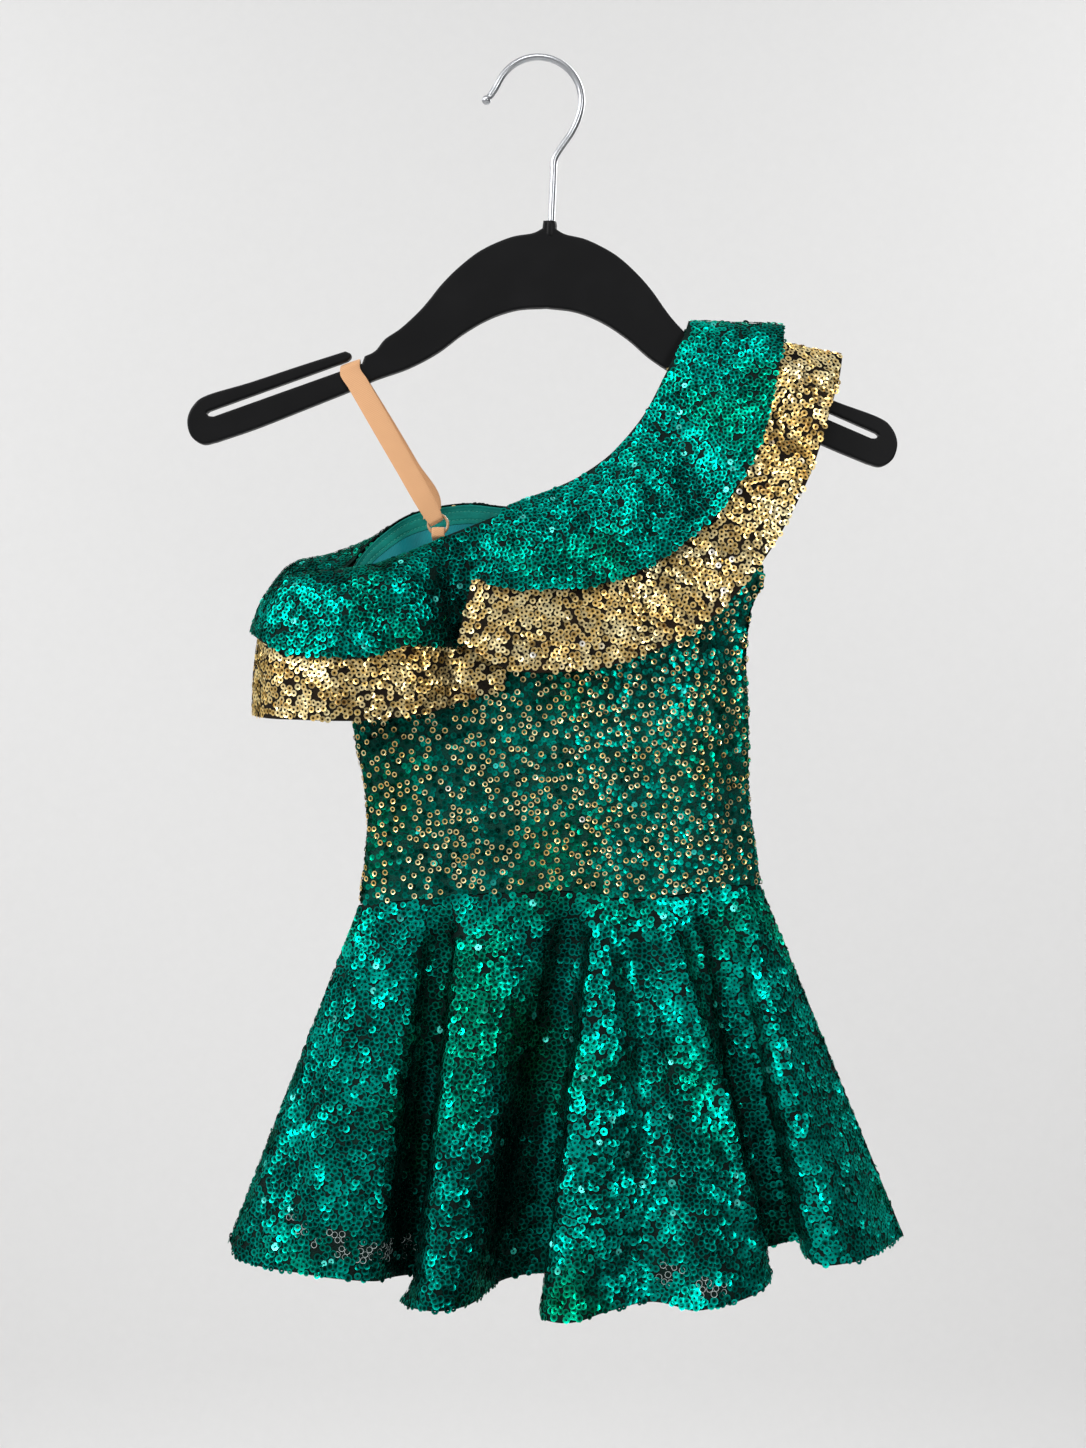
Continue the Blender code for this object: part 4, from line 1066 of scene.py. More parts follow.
def gap_to_line(points, x0, z0, x1, z1):
    """Distance to a line seen square on, and the share along it of the nearest place."""
    run = np.array([x1 - x0, z1 - z0])
    off = points[..., [0, 2]] - (x0, z0)
    along = np.clip(off @ run / (run @ run), 0, 1)
    return np.linalg.norm(off - along[..., None] * run, axis=-1), along


def crease_height(points, creases):
    """Height off the panel of its soft ridges, with troughs below 0."""
    height = np.zeros(points.shape[:-1])
    for x0, z0, x1, z1, width, depth in creases:
        gap, _ = gap_to_line(points, x0, z0, x1, z1)
        height += depth * np.exp(-(gap / width) ** 2)
    return height


def closeness(points, lines, taper):
    """How close points of the front lie to lines seen square on, from 0 to 1 on the lines."""
    near = np.zeros(len(points))
    for x0, z0, x1, z1, width in lines:
        gap, along = gap_to_line(points, x0, z0, x1, z1)
        near = np.maximum(near, np.exp(-(gap / (width * (1 - taper + taper * along))) ** 2))
    return near * (points[:, 1] < 0)


class Panel:
    """A cut piece of cloth: its outer face as a grid, its normals, its thickness and its side."""

    def __init__(self, name, face, normals, thickness, side=0):
        self.name = name
        self.kind = name.rsplit("_", 1)[0]
        self.face = face
        self.normals = normals
        self.thickness = thickness
        self.side = side
        self.keep = np.ones(face.shape[:2], bool)

    def wall(self, name, finish, depth=0.0):
        """A closed wall from that depth under the outer face to the panel's thickness."""
        layers = [self.face - self.normals * below for below in (depth, self.thickness)]
        if self.side:
            for layer in layers:
                layer[..., 1] = off_seam(layer[..., 1], self.side)
        return wall(name, *layers, finish)

    def bare_spots(self):
        """Where sequins are lost and only their thread rings are left."""
        spots = self.face.reshape(-1, 3)
        lost = closeness(spots, BARE_HEM, 0.0) * (clumps(spots, 9, 4) > 0.45) > 0.4
        return lost.reshape(self.keep.shape)


def wander(x, y, z):
    """Direction in which a row of sequins runs at a place, so that rows bend and turn."""
    return ROW_CURL * (math.sin(x * 0.21 + z * 0.13 + 1.7) + math.sin(z * 0.24 - x * 0.11 + y * 0.2)
                       + 0.8 * math.sin(x * 0.43 + y * 0.3 - z * 0.37 + 0.6)
                       + 0.5 * math.sin(z * 0.71 + x * 0.62))


def sequin_rows(panel, keep, seed, pitch=SEQUIN_PITCH, apart=SEQUIN_APART, most=70, fill=2.5,
                margin=0.2):
    """Middles of sequins sewn in wandering rows, as row, column and direction in the grid.

    A row starts anywhere that keep allows, has at most that many sequins and ends where another
    sequin lies nearer than apart. Fill is the number of tries, as a share of what fits, and
    margin is the bare width along the cloth's top edge.
    """
    across = np.gradient(panel.face, axis=1)
    down = np.gradient(panel.face, axis=0)
    wide = np.linalg.norm(across, axis=-1)
    skew = np.sum(down * across, axis=-1) / wide
    deep = np.linalg.norm(down - (across / wide[..., None]) * skew[..., None], axis=-1)
    area = (wide * deep * keep)[:-1, :-1].ravel()
    chance = np.random.default_rng(seed)
    tries = int(area.sum() / (pitch * apart) * fill)
    picks = np.searchsorted(np.cumsum(area), chance.random(tries) * area.sum())
    columns = panel.face.shape[1] - 1
    starts = np.stack([picks // columns, picks % columns], axis=-1) + chance.random((tries, 2))
    grid = panel.face.tolist()
    wide, skew, deep, keep = wide.tolist(), skew.tolist(), deep.tolist(), keep.tolist()
    last_row = len(grid) - 1 - ROW_END
    last_column = columns - COLUMN_END
    taken = {}
    found = []
    for row, column in starts.tolist():
        for _ in range(most):
            if not (ROW_START <= row < last_row and COLUMN_END <= column < last_column):
                break
            i, j = int(row), int(column)
            if not keep[i][j] or row * deep[i][j] < margin:
                break
            f, g = row - i, column - j
            shares = (1 - f) * (1 - g), (1 - f) * g, f * (1 - g), f * g
            corners = grid[i][j], grid[i][j + 1], grid[i + 1][j], grid[i + 1][j + 1]
            x, y, z = (a * shares[0] + b * shares[1] + c * shares[2] + d * shares[3]
                       for a, b, c, d in zip(*corners))
            cell = int(x // apart), int(y // apart), int(z // apart)
            near = (spot for a, b, c in NEXT_CELLS
                    for spot in taken.get((cell[0] + a, cell[1] + b, cell[2] + c), ()))
            if any(math.dist(spot, (x, y, z)) < apart for spot in near):
                break
            taken.setdefault(cell, []).append((x, y, z))
            way = wander(x, y, z)
            found.append((row, column, way))
            step = pitch * math.sin(way) / deep[i][j]
            row += step
            column += (pitch * math.cos(way) - step * skew[i][j]) / wide[i][j]
    return np.array(found)


def on_panel(panel, rows, columns):
    """Points, normals and the two directions of the grid at places between its points."""
    i = np.minimum(rows.astype(int), panel.face.shape[0] - 2)
    j = np.minimum(columns.astype(int), panel.face.shape[1] - 2)
    f = (rows - i)[:, None]
    g = (columns - j)[:, None]

    def blend(grid):
        return (grid[i, j] * (1 - f) * (1 - g) + grid[i, j + 1] * (1 - f) * g
                + grid[i + 1, j] * f * (1 - g) + grid[i + 1, j + 1] * f * g)

    normals = unit(blend(panel.normals))
    across = panel.face[i, j + 1] - panel.face[i, j]
    across = unit(across - normals * np.sum(across * normals, axis=-1, keepdims=True))
    down = np.cross(normals, across)
    drop = np.sum((panel.face[i + 1, j] - panel.face[i, j]) * down, axis=-1, keepdims=True)
    return blend(panel.face), normals, across, down * np.sign(drop)


def sequins(name, panel, places, finish, seed, tone, radius=SEQUIN_RADIUS, hole=SEQUIN_HOLE,
            uneven=0.07, lean=0.09, loose=0.055, lift=SEQUIN_LIFT):
    """Small cupped foil rings at those places, each leaning on the one before it in its row.

    Uneven is how far their radii differ, and loose how far they turn out of the cloth's plane:
    some are turned much further.
    """
    points, normals, across, down = on_panel(panel, places[:, 0], places[:, 1])
    chance = np.random.default_rng(seed)
    count = len(points)
    way = places[:, 2][:, None]
    ahead = across * np.cos(way) + down * np.sin(way)
    upset = np.where(chance.random((count, 1)) < UPSET_SHARE, loose * UPSET_TURN, loose)
    face = unit(normals + ahead * lean + chance.normal(0, 1, (count, 3)) * upset)
    ahead = unit(ahead - face * np.sum(ahead * face, axis=-1, keepdims=True))
    aside = np.cross(face, ahead)
    middle = points + normals * (lift - NET_DEPTH + chance.random((count, 1)) * LIFT_SPREAD)
    size = radius * (1 + uneven * chance.uniform(-1, 1, (count, 1)))
    angles = round_angles(SEQUIN_SIDES)[:, None]
    turn = ahead[:, None] * np.cos(angles) + aside[:, None] * np.sin(angles)
    rim = middle[:, None] + turn * size[:, None] + face[:, None] * CUP_RIM
    inner = middle[:, None] + turn * (size[:, None] * (hole / radius)) - face[:, None] * CUP_HOLE
    shape = np.concatenate([rim, inner], axis=1).reshape(-1, 3)
    spots = np.arange(count * SEQUIN_SIDES * 2).reshape(count, 2, SEQUIN_SIDES)
    outer, within = spots[:, 0], spots[:, 1]
    faces = np.stack([outer, np.roll(outer, -1, axis=1), np.roll(within, -1, axis=1), within],
                     axis=-1).reshape(-1, 4)
    tints = np.ones((count, 2, SEQUIN_SIDES, 4))
    tints[..., 0] = tones(points, chance, **tone)[:, None, None]
    tints[:, 1, :, 1] = 0.0
    tints[..., 2] = chance.random(count)[:, None, None]
    return lay_mesh(name, shape, faces, finish, tints.reshape(-1, 4))


def tones(points, chance, base=0.0, own=0.0, patches=None, drift=0.0, dull=0.0):
    """How bright each sequin is: its own chance, soft patches, painted shade that drifts from darker
    on the left to lighter on the right, and painted shade that darkens the fold valleys.
    """
    # Drift: painted shade, the tone darker on the left and lighter on the right of the dress.
    total = base + chance.random(len(points)) * own + points[:, 0] * drift
    if patches:
        size, seed, strength = patches
        total = total + clumps(points, size, seed) * strength
    # Painted shade: sequins darkened along the fold valleys, where shade falls.
    if dull:
        total = total - dull * closeness(points, PAINTED_SHADE_VALLEYS, VALLEY_TAPER)
    return np.clip(total, 0, 1)


def clumps(points, size, seed):
    """Soft patches from 0 to 1 over a panel, about that many millimetres across."""
    chance = np.random.default_rng(seed)
    total = np.zeros(len(points))
    for _ in range(6):
        way = unit(chance.normal(0, 1, 3)) * (2 * math.pi / size) * chance.uniform(0.6, 1.7)
        total += np.sin(points @ way + chance.uniform(0, 6.28))
    return 0.5 + total / 6.5


def fade_in(shares, sharpness):
    """From 0 at both ends of a run of shares to 1 along its middle."""
    return np.clip(np.minimum(shares - shares[0], shares[-1] - shares) * sharpness, 0, 1)


def bodice_panel(name, side, creases):
    """Front (-1) or back (+1) bodice, with its creases."""
    rows = np.interp(np.linspace(0, 1, 73), np.linspace(0, 1, len(BODICE_ROWS)), BODICE_ROWS)
    columns = np.sort(np.concatenate([np.linspace(0, 1, 61), SHOULDER_COLUMNS]))
    face = bodice_sheet(side, rows, columns)
    hold = fade_in(rows, 12)[:, None] * fade_in(columns, 14)
    height = crease_height(face, creases) * hold
    face = face + seam_side_normals(face, side) * height[..., None]
    return Panel(name, face, top_levelled(seam_side_normals(face, side)), BODICE_WALL, side)


def skirt_panel(name, side, folds, steps, creases, seed):
    """Front or back skirt: from the waist seam to the folded hem, with its creases."""
    table = np.column_stack([np.arange(len(folds), dtype=float), np.array(folds)])
    values = spline(table, np.linspace(0, len(folds) - 1, (len(folds) - 1) * steps + 1))
    top = waist_ring(np.clip(values[:, 0], WAIST_LEFT, WAIST_RIGHT), side)
    top[:, 2] -= WAIST_GAP
    hem = values[:, 1:4]
    hem[:, 1] = off_seam(hem[:, 1], side)
    share = np.linspace(0, 1, 41)[:, None, None]
    face = top[None] * (1 - share) + hem[None] * share
    face[..., 1] = off_seam(face[..., 1], side)
    normals = seam_side_normals(face, side)
    hold = np.clip(share[..., 0] * 8, 0, 1) * fade_in(np.linspace(0, 1, face.shape[1]), 22)
    chance = np.random.default_rng(seed)
    flutter = np.zeros(face.shape[:2])
    for part in range(7):
        way = chance.normal(0, 1, 2)
        way = way / np.linalg.norm(way) * chance.uniform(0.10, 0.26)
        flutter += np.sin(face[..., 0] * way[0] + face[..., 2] * way[1] + part * 2.1) * 0.22
    height = (crease_height(face, creases) + flutter) * hold
    face = face + normals * height[..., None]
    face[..., 1] = off_seam(face[..., 1], side)
    return Panel(name, face, top_levelled(seam_side_normals(face, side)), SKIRT_WALL, side)


def ruffle_panel(name, shape, at, creases):
    """One length of ruffle, with its creases growing from its seam to its hem."""
    shares = np.linspace(0, 1, 27)
    face = shape(at, shares)
    normals = probed_normals(shape, at, shares)
    hold = np.clip(shares * 3, 0, 1)[:, None] * fade_in(at, 40)
    face = face + normals * (crease_height(face, creases) * hold)[..., None]
    return Panel(name, face, sheet_normals(face, normals), RUFFLE_WALL)


def tube_faces(rings, sides, closed=False):
    """Quads between rings of points."""
    spots = np.arange(rings * sides).reshape(rings, sides)
    if closed:
        spots = np.concatenate([spots, spots[:1]])
    here, there = spots[:-1], spots[1:]
    return np.stack([here, there, np.roll(there, -1, axis=1), np.roll(here, -1, axis=1)],
                    axis=-1).reshape(-1, 4)


def tube(name, path, radii, sides, finish, closed=False):
    """Round wire along a path that lies in one upright plane."""
    if closed:
        ahead = np.roll(path, -1, axis=0) - np.roll(path, 1, axis=0)
    else:
        ahead = np.gradient(path, axis=0)
    across = unit(np.cross(unit(ahead), BACK))
    angles = round_angles(sides)[:, None]
    turn = across[:, None] * np.cos(angles) + BACK * np.sin(angles)
    points = (path[:, None] + turn * np.asarray(radii)[:, None, None]).reshape(-1, 3)
    return lay_mesh(name, points, outward(points, tube_faces(len(path), sides, closed)), finish)


def upright(flat):
    """Points of the plane that the hanger lies in, from x and z."""
    return np.stack([flat[:, 0], np.zeros(len(flat)), flat[:, 1]], axis=-1)


def hanger_hook(finish):
    """Wire hook with its ball tip, down to the hanger's socket."""
    angles = np.linspace(HOOK_ARC_FROM, HOOK_ARC_TO, HOOK_ARC_STEPS + 1)
    arc = np.stack([np.cos(angles), np.sin(angles)], axis=-1) * HOOK_ARC_RADIUS + HOOK_ARC_CENTRE
    foot = np.array(tilt(HANGER_AXIS, SOCKET_TOP)) + (HOOK_FOOT_SHIFT, GAP)
    shaft = [np.array(HOOK_NECK[-1]) * (1 - share) + foot * share for share in (0.25, 0.6, 1.0)]
    path = np.concatenate([HOOK_START, arc, HOOK_NECK, shaft])
    run = run_along(path)
    wire = spline(np.column_stack([run, path]), np.arange(0, run[-1], HOOK_STEP))
    turns = np.radians(np.linspace(90, -50, 14))
    ball = np.array(HOOK_TIP) - np.outer(np.sin(turns), (0.7, 0.7)) * HOOK_TIP_RADIUS
    wire = np.concatenate([ball, wire[1:], path[-1:]])
    radii = np.full(len(wire), HOOK_RADIUS)
    radii[:len(turns)] = np.maximum(np.cos(turns) * HOOK_TIP_RADIUS, 0.05)
    return tube("hook_wire", upright(wire), radii, HOOK_SIDES, finish)


def hanger_outline():
    """The hanger's outline, tilted, and the way inwards at each point for its rounded edge."""
    half = [HANGER_STRETCHES[0][0]]
    for stretch in HANGER_STRETCHES:
        steps = HANGER_STRETCH_STEPS if len(stretch) > 2 else 2
        at = np.linspace(0, len(stretch) - 1, (len(stretch) - 1) * steps + 1)
        half += [tuple(point) for point in spline([(spot, *point) for spot, point
                                                   in enumerate(stretch)], at)[1:]]
    right = [(HANGER_AXIS + off, height) for off, height in half]
    left = [(HANGER_AXIS - off, height) for off, height in reversed(half[:-1])]
    outline = np.array([tilt(x, z) for x, z in right + left])
    before = unit(outline - np.roll(outline, 1, axis=0))
    after = unit(np.roll(outline, -1, axis=0) - outline)
    along = unit(before + after)
    corner = np.clip(np.sum(before * along, axis=1), 0.7, 1.0)[:, None]
    inward = np.stack([along[:, 1], -along[:, 0]], axis=-1) / corner * HANGER_BEVEL
    for _ in range(40):
        inner = outline + inward
        turned = np.sum((np.roll(inner, -1, axis=0) - inner)
                        * (np.roll(outline, -1, axis=0) - outline), axis=1) <= 0
        inward[turned | np.roll(turned, 1)] *= 0.8
    return outline, inward


def hanger_shell(finish):
    """Flat moulded hanger with sprung strap slots and rounded edges."""
    outline, inward = hanger_outline()
    count = len(outline)
    turns = np.radians([90, 68, 45, 22, 0])
    rings = [(turn, 1) for turn in turns] + [(turn, -1) for turn in turns[::-1]]
    cage = bmesh.new()
    corners = []
    for turn, side in rings:
        y = side * (HANGER_HALF_THICKNESS - HANGER_BEVEL * (1 - math.sin(turn)))
        corners += [cage.verts.new((x * MM, y * MM, z * MM))
                    for x, z in outline + inward * (1 - math.cos(turn))]
    for spot in tube_faces(len(rings), count):
        cage.faces.new([corners[index] for index in spot]).smooth = True
    flat = [mathutils.Vector((x, z, 0.0)) for x, z in outline + inward]
    last = (len(rings) - 1) * count
    for spot in mathutils.geometry.tessellate_polygon([flat]):
        cage.faces.new([corners[index] for index in spot])
        cage.faces.new([corners[index + last] for index in reversed(spot)])
    bmesh.ops.recalc_face_normals(cage, faces=cage.faces[:])
    mesh = bpy.data.meshes.new("hanger_shell")
    cage.to_mesh(mesh)
    cage.free()
    return show("hanger_shell", mesh, finish)


def hanger_socket(finish):
    """Round boss, a little proud of the hanger, that holds the foot of the hook."""
    angles = round_angles(SOCKET_SIDES)
    level = np.array([math.cos(HANGER_TILT), 0.0, -math.sin(HANGER_TILT)])
    turn = np.outer(np.cos(angles), level) + np.outer(np.sin(angles), BACK)
    axis = upright(np.array([tilt(HANGER_AXIS + SOCKET_SHIFT, SOCKET_TOP + height)
                             for _, height in SOCKET_PROFILE]))
    radii = np.array(SOCKET_PROFILE)[:, 0]
    points = (axis[:, None] + turn * radii[:, None, None]).reshape(-1, 3)
    faces = outward(points, tube_faces(len(radii), SOCKET_SIDES))
    return lay_mesh("hanger_socket", points, faces, finish)


def ribbon(name, rows, thickness, finish):
    """Flat woven strip through rows of middle, width's way, face's way and width.

    Its edges are a little thinner than its middle.
    """
    middle, across, facing, widths = (np.array(part, dtype=float) for part in zip(*rows))
    run = run_along(middle)
    at = np.unique(np.concatenate([np.arange(0, run[-1], 1.5), run]))
    values = spline(np.column_stack([run, middle, unit(across), unit(facing), widths]), at)
    values = values[:, None]
    middle, across, facing = values[..., 0:3], unit(values[..., 3:6]), unit(values[..., 6:9])
    shares, thin = np.array(RIBBON_SECTION).T[..., None]
    thin = thin * thickness
    strip = middle + across * shares * values[..., 9:10] / 2
    return wall(name, strip - facing * thin, strip - facing * (thickness - thin), finish)


def half_turn(centre, first, over, reach, width_way, width):
    """Rows of a strip that turns round a bar or a ring, from the first side over to the other."""
    rows = []
    for angle in np.pi * np.arange(1, STRAP_TURN_STEPS) / STRAP_TURN_STEPS:
        way = first * math.cos(angle) + over * math.sin(angle)
        rows.append((centre + way * reach, width_way, way, width))
    return rows


def ring_sag(width):
    """How far the ring's curve falls over half the width of a strip that hangs on it."""
    return RING_RADIUS - math.sqrt(RING_RADIUS ** 2 - (width / 2) ** 2)


def strap(finish):
    """Elastic strap: up from the ring, over the hanger's slotted arm and down to the back neck."""
    bar_x, bar_top = tilt(HANGER_AXIS + STRAP_BAR_PLACE, STRAP_BAR_TOP)
    bar = np.array([bar_x, 0.0, bar_top - STRAP_CROWN])
    slope = STRAP_BAR_SLOPE - HANGER_TILT
    along_bar = np.array([math.cos(slope), 0.0, math.sin(slope)])
    reach = HANGER_HALF_THICKNESS + GAP + STRAP_WALL
    ring_clear = RING_WIRE + GAP + STRAP_WALL
    centre = np.array(RING_CENTRE)
    top = bar + FRONT * reach
    up = unit((top - centre) * (1, 0, 1))
    slanted = unit(np.cross(BACK, up))
    turn = centre + up * (RING_RADIUS - ring_sag(STRAP_END_WIDTH) - RING_WIRE - GAP + STRAP_SETTLE)
    rows = [(turn + up * rise + BACK * ring_clear, slanted, BACK, STRAP_END_WIDTH)
            for rise in (STRAP_FOLD, 0.0)]
    rows += half_turn(turn, BACK, -up, ring_clear, slanted, STRAP_END_WIDTH)
    rows += [(turn + up * rise + FRONT * ring_clear, slanted, FRONT, STRAP_END_WIDTH + more)
             for rise, more in STRAP_WIDENING]
    start = turn + up * STRAP_FOLD + FRONT * ring_clear
    for share in (0.0, 0.3, 0.6, 0.9, 1.0):
        bow = FRONT * STRAP_FRONT_BOW * math.sin(math.pi * share)
        way = along_bar * share ** 6 + slanted * (1 - share ** 6)
        rows.append((start + (top - start) * share + bow, way, FRONT,
                     STRAP_WIDTH - STRAP_DRAW * (1 - share) ** 2))
    rows += half_turn(bar, FRONT, UP, reach, along_bar, STRAP_WIDTH)
    neck = neck_points(BACK_NECK, 1, np.array([STRAP_BACK_SHARE]))[0]
    inside = neck[1] - BODICE_WALL - 2 * GAP - BINDING_WALL - STRAP_BACK_CLEARANCE
    back_top = bar + BACK * reach
    back_foot = np.array([neck[0] + STRAP_BACK_SHIFT, inside, neck[2] + 1.0])
    cross = unit(np.cross(unit(back_foot - back_top), BACK))
    for share in (0.0, 0.1, 0.4, 0.7, 1.0):
        way = along_bar * (1 - share) ** 6 + cross * (1 - (1 - share) ** 6)
        bow = (STRAP_BACK_BOW * math.sin(math.pi * share), 0, 0)
        rows.append((back_top + (back_foot - back_top) * share + bow, way, BACK, STRAP_WIDTH))
    rows.append((back_foot - UP * STRAP_BACK_OVERLAP, cross, BACK, STRAP_WIDTH))
    return ribbon("strap_elastic", rows, STRAP_WALL, finish)


def strap_tab(finish):
    """Short loop of elastic from inside the front neck, up round the ring."""
    neck = neck_points(FRONT_NECK, -1, np.array([TAB_SHARE]))[0]
    clear = RING_WIRE + GAP + TAB_WALL
    ring_foot = np.array(RING_CENTRE) - UP * RING_RADIUS
    turn = ring_foot + UP * (ring_sag(TAB_WIDTH_TOP) + RING_WIRE + GAP - STRAP_SETTLE)
    level = np.array([1.0, 0.0, 0.0])
    slant = unit(np.array(TAB_SLANT))
    foot = neck + BACK * (BODICE_WALL + GAP + TAB_CLEARANCE)
    rows = [
        (foot - UP * TAB_TUCK, slant, FRONT, TAB_WIDTH_BOTTOM),
        (foot + FRONT * 0.2 + UP * 0.3, slant, FRONT, TAB_WIDTH_BOTTOM),
        (ring_foot + FRONT * clear - UP * (RING_WIRE + GAP), level, FRONT, TAB_WIDTH_TOP),
        (turn + FRONT * clear, level, FRONT, TAB_WIDTH_TOP),
    ]
    rows += half_turn(turn, FRONT, UP, clear, level, TAB_WIDTH_TOP)
    rows += [(turn + BACK * clear, level, BACK, TAB_WIDTH_TOP),
             (ring_foot + BACK * clear - UP * 0.8, level, BACK, TAB_WIDTH_TOP)]
    return ribbon("tab_elastic", rows, TAB_WALL, finish)


def strap_ring(finish):
    """Ring of round wire between the strap and the tab."""
    turns = round_angles(RING_SEGMENTS)
    path = upright(np.stack([np.cos(turns), np.sin(turns)], axis=-1)) * RING_RADIUS + RING_CENTRE
    return tube("ring_loop", path, np.full(RING_SEGMENTS, RING_WIRE), RING_SIDES, finish, closed=True)


def inside_panel(name, across, drops, stand, thickness, relief):
    """Binding or lining on the inside of the back bodice, seen from within."""
    columns = np.linspace(0, 1, 150)
    sheet = bodice_sheet(1, np.linspace(0, 1, 60), columns)
    kept = (columns > across[0]) & (columns < across[1])
    normals = seam_side_normals(sheet, 1)[::-1, kept]
    sheet = sheet[::-1, kept]
    near = sheet - normals * (BODICE_WALL + stand + thickness)
    lines, ways = [], []
    for column in range(sheet.shape[1]):
        run = run_along(sheet[:, column])
        at = drops(run[-1])
        lines.append(at_run(at, run, near[:, column]))
        ways.append(at_run(at, run, -normals[:, column]))
    face = np.stack(lines, axis=1)
    ways = unit(np.stack(ways, axis=1))
    spread = relief(np.linspace(0, 1, len(face))[:, None], columns[None, kept])
    face = face + ways * spread[..., None]
    return Panel(name, face, sheet_normals(face, ways), thickness)


def neck_binding():
    """Folded tape along the inside of the back neck, with a rolled edge and two sewn channels."""
    def drops(run):
        return BINDING_WIDTH * np.linspace(0, 1, 28)

    def relief(down, across):
        return sum(height * np.exp(-((down - place) / width) ** 2)
                   for place, width, height in BINDING_RELIEF)

    return inside_panel("back_neck_binding", BINDING_ACROSS, drops, GAP, BINDING_WALL, relief)


def neck_lining():
    """Lining below the binding, with soft upright folds."""
    top = BINDING_WIDTH + GAP

    def drops(run):
        return top + (run - LINING_CLEARANCE - top) * np.linspace(0, 1, 40)

    def relief(down, across):
        fold = 0.45 * np.sin(across * 62 + down * 2.2) * np.minimum(down * 4, 1)
        return fold * (0.6 + 0.4 * np.sin(across * 17 + 1))

    return inside_panel("back_lining", LINING_ACROSS, drops, LINING_STAND, LINING_WALL, relief)


def stitches(name, panel, finish):
    """Rows of short raised stitches along a panel."""
    angles = round_angles(STITCH_SIDES)[:, None]
    reach, size = (part[:, None, None] for part in np.array(STITCH_RINGS).T)
    parts = []
    for share in STITCH_SHARES:
        row = int(share * (panel.face.shape[0] - 1))
        line, ways = panel.face[row], panel.normals[row]
        run = run_along(line)
        spots = np.arange(STITCH_PITCH, run[-1] - STITCH_PITCH, STITCH_PITCH)
        middle = at_run(spots, run, line)[:, None, None]
        along = unit(at_run(spots + 0.3, run, line) - at_run(spots - 0.3, run, line))
        way = at_run(spots, run, ways)
        aside = np.cross(along, way)[:, None, None]
        along, way = along[:, None, None], way[:, None, None]
        off = (way * np.cos(angles) * 0.20 + aside * np.sin(angles) * 0.24) * size
        parts.append((middle + way * 0.06 + along * reach * STITCH_LENGTH + off).reshape(-1, 3))
    points = np.concatenate(parts)
    per_stitch = len(STITCH_RINGS) * STITCH_SIDES
    starts = np.arange(0, len(points), per_stitch)[:, None, None]
    faces = tube_faces(len(STITCH_RINGS), STITCH_SIDES)[None] + starts
    return lay_mesh(name, points, faces.reshape(-1, 4), finish)


def soft_light(name, place, spot, width, height, power):
    """A soft box that looks at a spot, in metres and watts."""
    light = bpy.data.lights.new(name, "AREA")
    light.shape = "RECTANGLE"
    light.size = width
    light.size_y = height
    light.energy = power
    item = bpy.data.objects.new(name, light)
    item.location = place
    item.visible_camera = False
    bpy.context.collection.objects.link(item)
    way = np.array(spot) - np.array(place)
    flat = math.hypot(way[0], way[1])
    item.rotation_euler = (math.atan2(flat, -way[2]), 0.0, math.atan2(-way[0], way[1]))


def pale_room():
    """Soft light from all round, darker towards one side, for the sequins to mirror."""
    room = bpy.data.worlds.new("pale room")
    room.use_nodes = True
    nodes, links = room.node_tree.nodes, room.node_tree.links
    facing = nodes.new("ShaderNodeVectorMath")
    facing.operation = "DOT_PRODUCT"
    facing.inputs[1].default_value = ROOM_DARK_SIDE
    links.new(nodes.new("ShaderNodeTexCoord").outputs["Generated"], facing.inputs[0])
    level = nodes.new("ShaderNodeMapRange")
    level.interpolation_type = "SMOOTHSTEP"
    for name, value in (("From Min", 0.0), ("From Max", ROOM_SHADE_FULL),
                        ("To Min", ROOM_BRIGHTNESS), ("To Max", ROOM_BRIGHTNESS - ROOM_SHADE)):
        level.inputs[name].default_value = value
    links.new(facing.outputs["Value"], level.inputs["Value"])
    background = nodes["Background"]
    background.inputs["Color"].default_value = (0.98, 0.99, 1.0, 1.0)
    links.new(level.outputs["Result"], background.inputs["Strength"])
    bpy.context.scene.world = room
    bpy.context.scene.view_settings.view_transform = "Standard"


def floor_and_wall():
    """Pale floor well below the dress, which curves up into a pale wall well behind it."""
    turns = np.pi / 2 * np.arange(SWEEP_STEPS + 1) / SWEEP_STEPS
    profile = [(FLOOR_FRONT, FLOOR_HEIGHT)]
    profile += [(WALL_PLACE - SWEEP_RADIUS * (1 - math.sin(turn)),
                 FLOOR_HEIGHT + SWEEP_RADIUS * (1 - math.cos(turn))) for turn in turns]
    profile.append((WALL_PLACE, WALL_TOP))
    points = [(x, y, z) for y, z in profile for x in (-WALL_HALF_WIDTH, WALL_HALF_WIDTH)]
    spots = np.arange(len(points)).reshape(-1, 2)
    faces = np.stack([spots[:-1, 0], spots[:-1, 1], spots[1:, 1], spots[1:, 0]], axis=-1)
    paper = studio_finish("pale paper", (0.80, 0.795, 0.79))
    lay_mesh("floor_and_wall", np.array(points), faces, paper)


def level_camera():
    """Camera that looks level at the front, at the photograph's angle and distance."""
    camera = bpy.data.cameras.new("camera")
    camera.sensor_fit = "VERTICAL"
    camera.sensor_height = CAMERA_SENSOR
    camera.lens = CAMERA_SENSOR * CAMERA_DISTANCE / CAMERA_FRAME
    camera.clip_end = 50.0
    item = bpy.data.objects.new("camera", camera)
    item.location = (CAMERA_X * MM, -CAMERA_DISTANCE * MM, CAMERA_Z * MM)
    item.rotation_euler = (math.radians(90), 0.0, 0.0)
    bpy.context.collection.objects.link(item)
    bpy.context.scene.camera = item


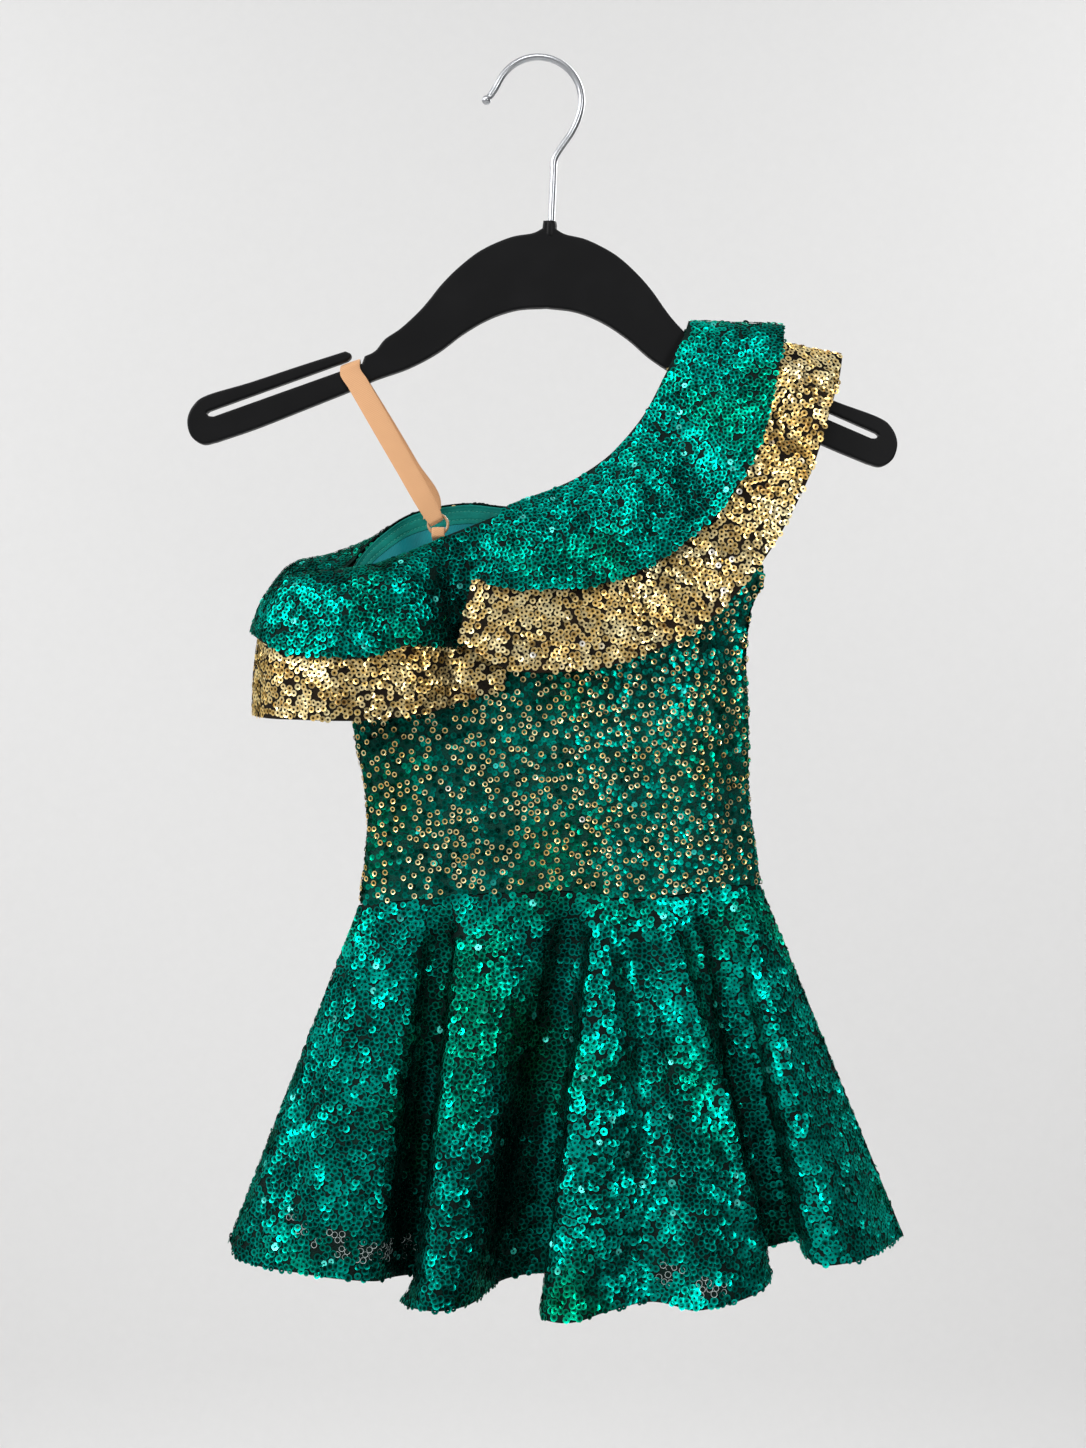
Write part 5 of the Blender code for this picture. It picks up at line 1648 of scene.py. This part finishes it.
def cut_panels():
    """The sequinned pieces of cloth by name."""
    panels = [
        bodice_panel("bodice_front", -1, FRONT_BODICE_CREASES),
        bodice_panel("bodice_back", 1, BACK_BODICE_CREASES),
        skirt_panel("skirt_front", -1, FRONT_FOLDS, 10, FRONT_SKIRT_CREASES, 3),
        skirt_panel("skirt_back", 1, BACK_FOLDS, 12, BACK_SKIRT_CREASES, 4),
    ]
    first, last = RUFFLE_SECTIONS[0][0], RUFFLE_SECTIONS[-1][0]
    for part, at in (("side", ruffle_places(first, RUFFLE_JOIN - RUFFLE_JOIN_GAP, 6)),
                     ("shoulder", ruffle_places(RUFFLE_JOIN + RUFFLE_JOIN_GAP, last, 7))):
        gold = ruffle_panel("ruffle_gold_" + part, gold_points, at, GOLD_CREASES)
        covered = spline(GREEN_LAYER, at)[:, 0] - GREEN_OVERLAP
        gold.keep = np.linspace(0, 1, len(gold.keep))[:, None] > covered
        panels += [gold, ruffle_panel("ruffle_green_" + part, green_points, at, GREEN_CREASES)]
    return {panel.name: panel for panel in panels}


def sequin_finishes():
    """The materials of the sequins and of bare thread rings, by name."""
    return {
        "green": sequin_finish(
            "green sequins", dark=(0.0, 0.008, 0.006), middle=(0.0, 0.085, 0.060),
            bright=(0.0, 0.58, 0.46), drift=(0.9, 1.0, 0.62), painted_glint=(0.12, 0.95, 0.82), edge=0.95),
        "gold": sequin_finish(
            "gold sequins", dark=(0.24, 0.11, 0.015), middle=(0.80, 0.52, 0.145),
            bright=(1.0, 0.84, 0.46), drift=(1.0, 0.86, 0.60), painted_glint=(1.0, 0.95, 0.84), edge=0.95),
        "yellow gold": sequin_finish(
            "yellow gold sequins", dark=(0.30, 0.14, 0.020), middle=(0.82, 0.54, 0.14),
            bright=(1.0, 0.84, 0.44), drift=(1.0, 0.80, 0.50), painted_glint=(1.0, 0.96, 0.88), edge=1.2),
        "pale thread": thread_finish("pale thread", (0.22, 0.28, 0.27), (0.58, 0.66, 0.64)),
        "flat green": sequin_finish(
            "flat green sequins", dark=(0.0, 0.008, 0.006), middle=(0.0, 0.075, 0.052),
            bright=(0.0, 0.36, 0.28), drift=(0.9, 1.05, 0.60), painted_glint=(0.05, 0.80, 0.70), edge=0.40),
    }


def net_finishes():
    """The net under the sequins, by kind of piece."""
    green = net_finish("dark green net", (0.0, 0.008, 0.006), (0.0, 0.002, 0.0015),
                       (0, 0.034, 0.022))
    emerald = net_finish("emerald net", (0.0, 0.040, 0.028), (0.0, 0.010, 0.008), (0.0, 0.10, 0.07))
    black = net_finish("black net", (0.009, 0.006, 0.003), (0.0015, 0.0015, 0.0015),
                       (0.036, 0.019, 0.006))
    return {"bodice": emerald, "skirt": green, "ruffle_gold": black, "ruffle_green": green}


def sequinned_cloth():
    """The nets and the sequins sewn on each, by the names of the pieces."""
    finishes, nets = sequin_finishes(), net_finishes()
    panels = cut_panels()
    sheets = {}
    for name, panel in panels.items():
        sheets[name] = panel.wall(name + "_net", nets[panel.kind], NET_DEPTH)
        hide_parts(name)
    sewn = {name: [] for name in panels}
    for order, (name, panel) in enumerate(panels.items()):
        bare = panel.bare_spots()
        for layer in LAYERS[panel.kind]:
            spread = panel.keep & (bare if layer.get("on_bare") else ~bare)
            if spread.any():
                places = sequin_rows(panel, spread, layer["row_seed"] + order, **layer["rows"])
                item = sequins(name + layer["ending"], panel, places, finishes[layer["finish"]],
                               layer["seed"] + order, layer["tone"], **layer["look"])
                sewn[name].append(item)
    return sheets, sewn


def neck_and_hanger():
    """Binding, lining, strap, ring, tab, hanger and hook."""
    tape, cloth = neck_binding(), neck_lining()
    tape_wall = tape.wall("binding_tape", binding_finish())
    cloth_wall = cloth.wall("lining_cloth", lining_finish())
    sewing = stitches("binding_stitches", tape,
                      thread_finish("teal thread", (0.0, 0.16, 0.12), (0.03, 0.42, 0.33)))
    ring = strap_ring(ring_finish())
    elastic, plastic = elastic_finish(), plastic_finish()
    band, tab = strap(elastic), strap_tab(elastic)
    shell, socket = hanger_shell(plastic), hanger_socket(plastic)
    for item, node, slot in ((shell, "hanger_body", "black_plastic"),
                             (hanger_hook(wire_finish()), "hanger_hook", "bright_wire"),
                             (band, "strap", "tan_elastic"), (tab, "strap_tab", "tan_elastic"),
                             (ring, "strap_ring", "pale_ring"),
                             (tape_wall, "back_neck_binding", "teal_binding"),
                             (cloth_wall, "back_lining", "turquoise_lining")):
        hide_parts(node)


sheets, sewn = sequinned_cloth()
neck_and_hanger()
for name, (width, length, area) in CUTS.items():
    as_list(sewn[name])
pale_room()
floor_and_wall()
for light in LIGHTS:
    soft_light(*light)
level_camera()
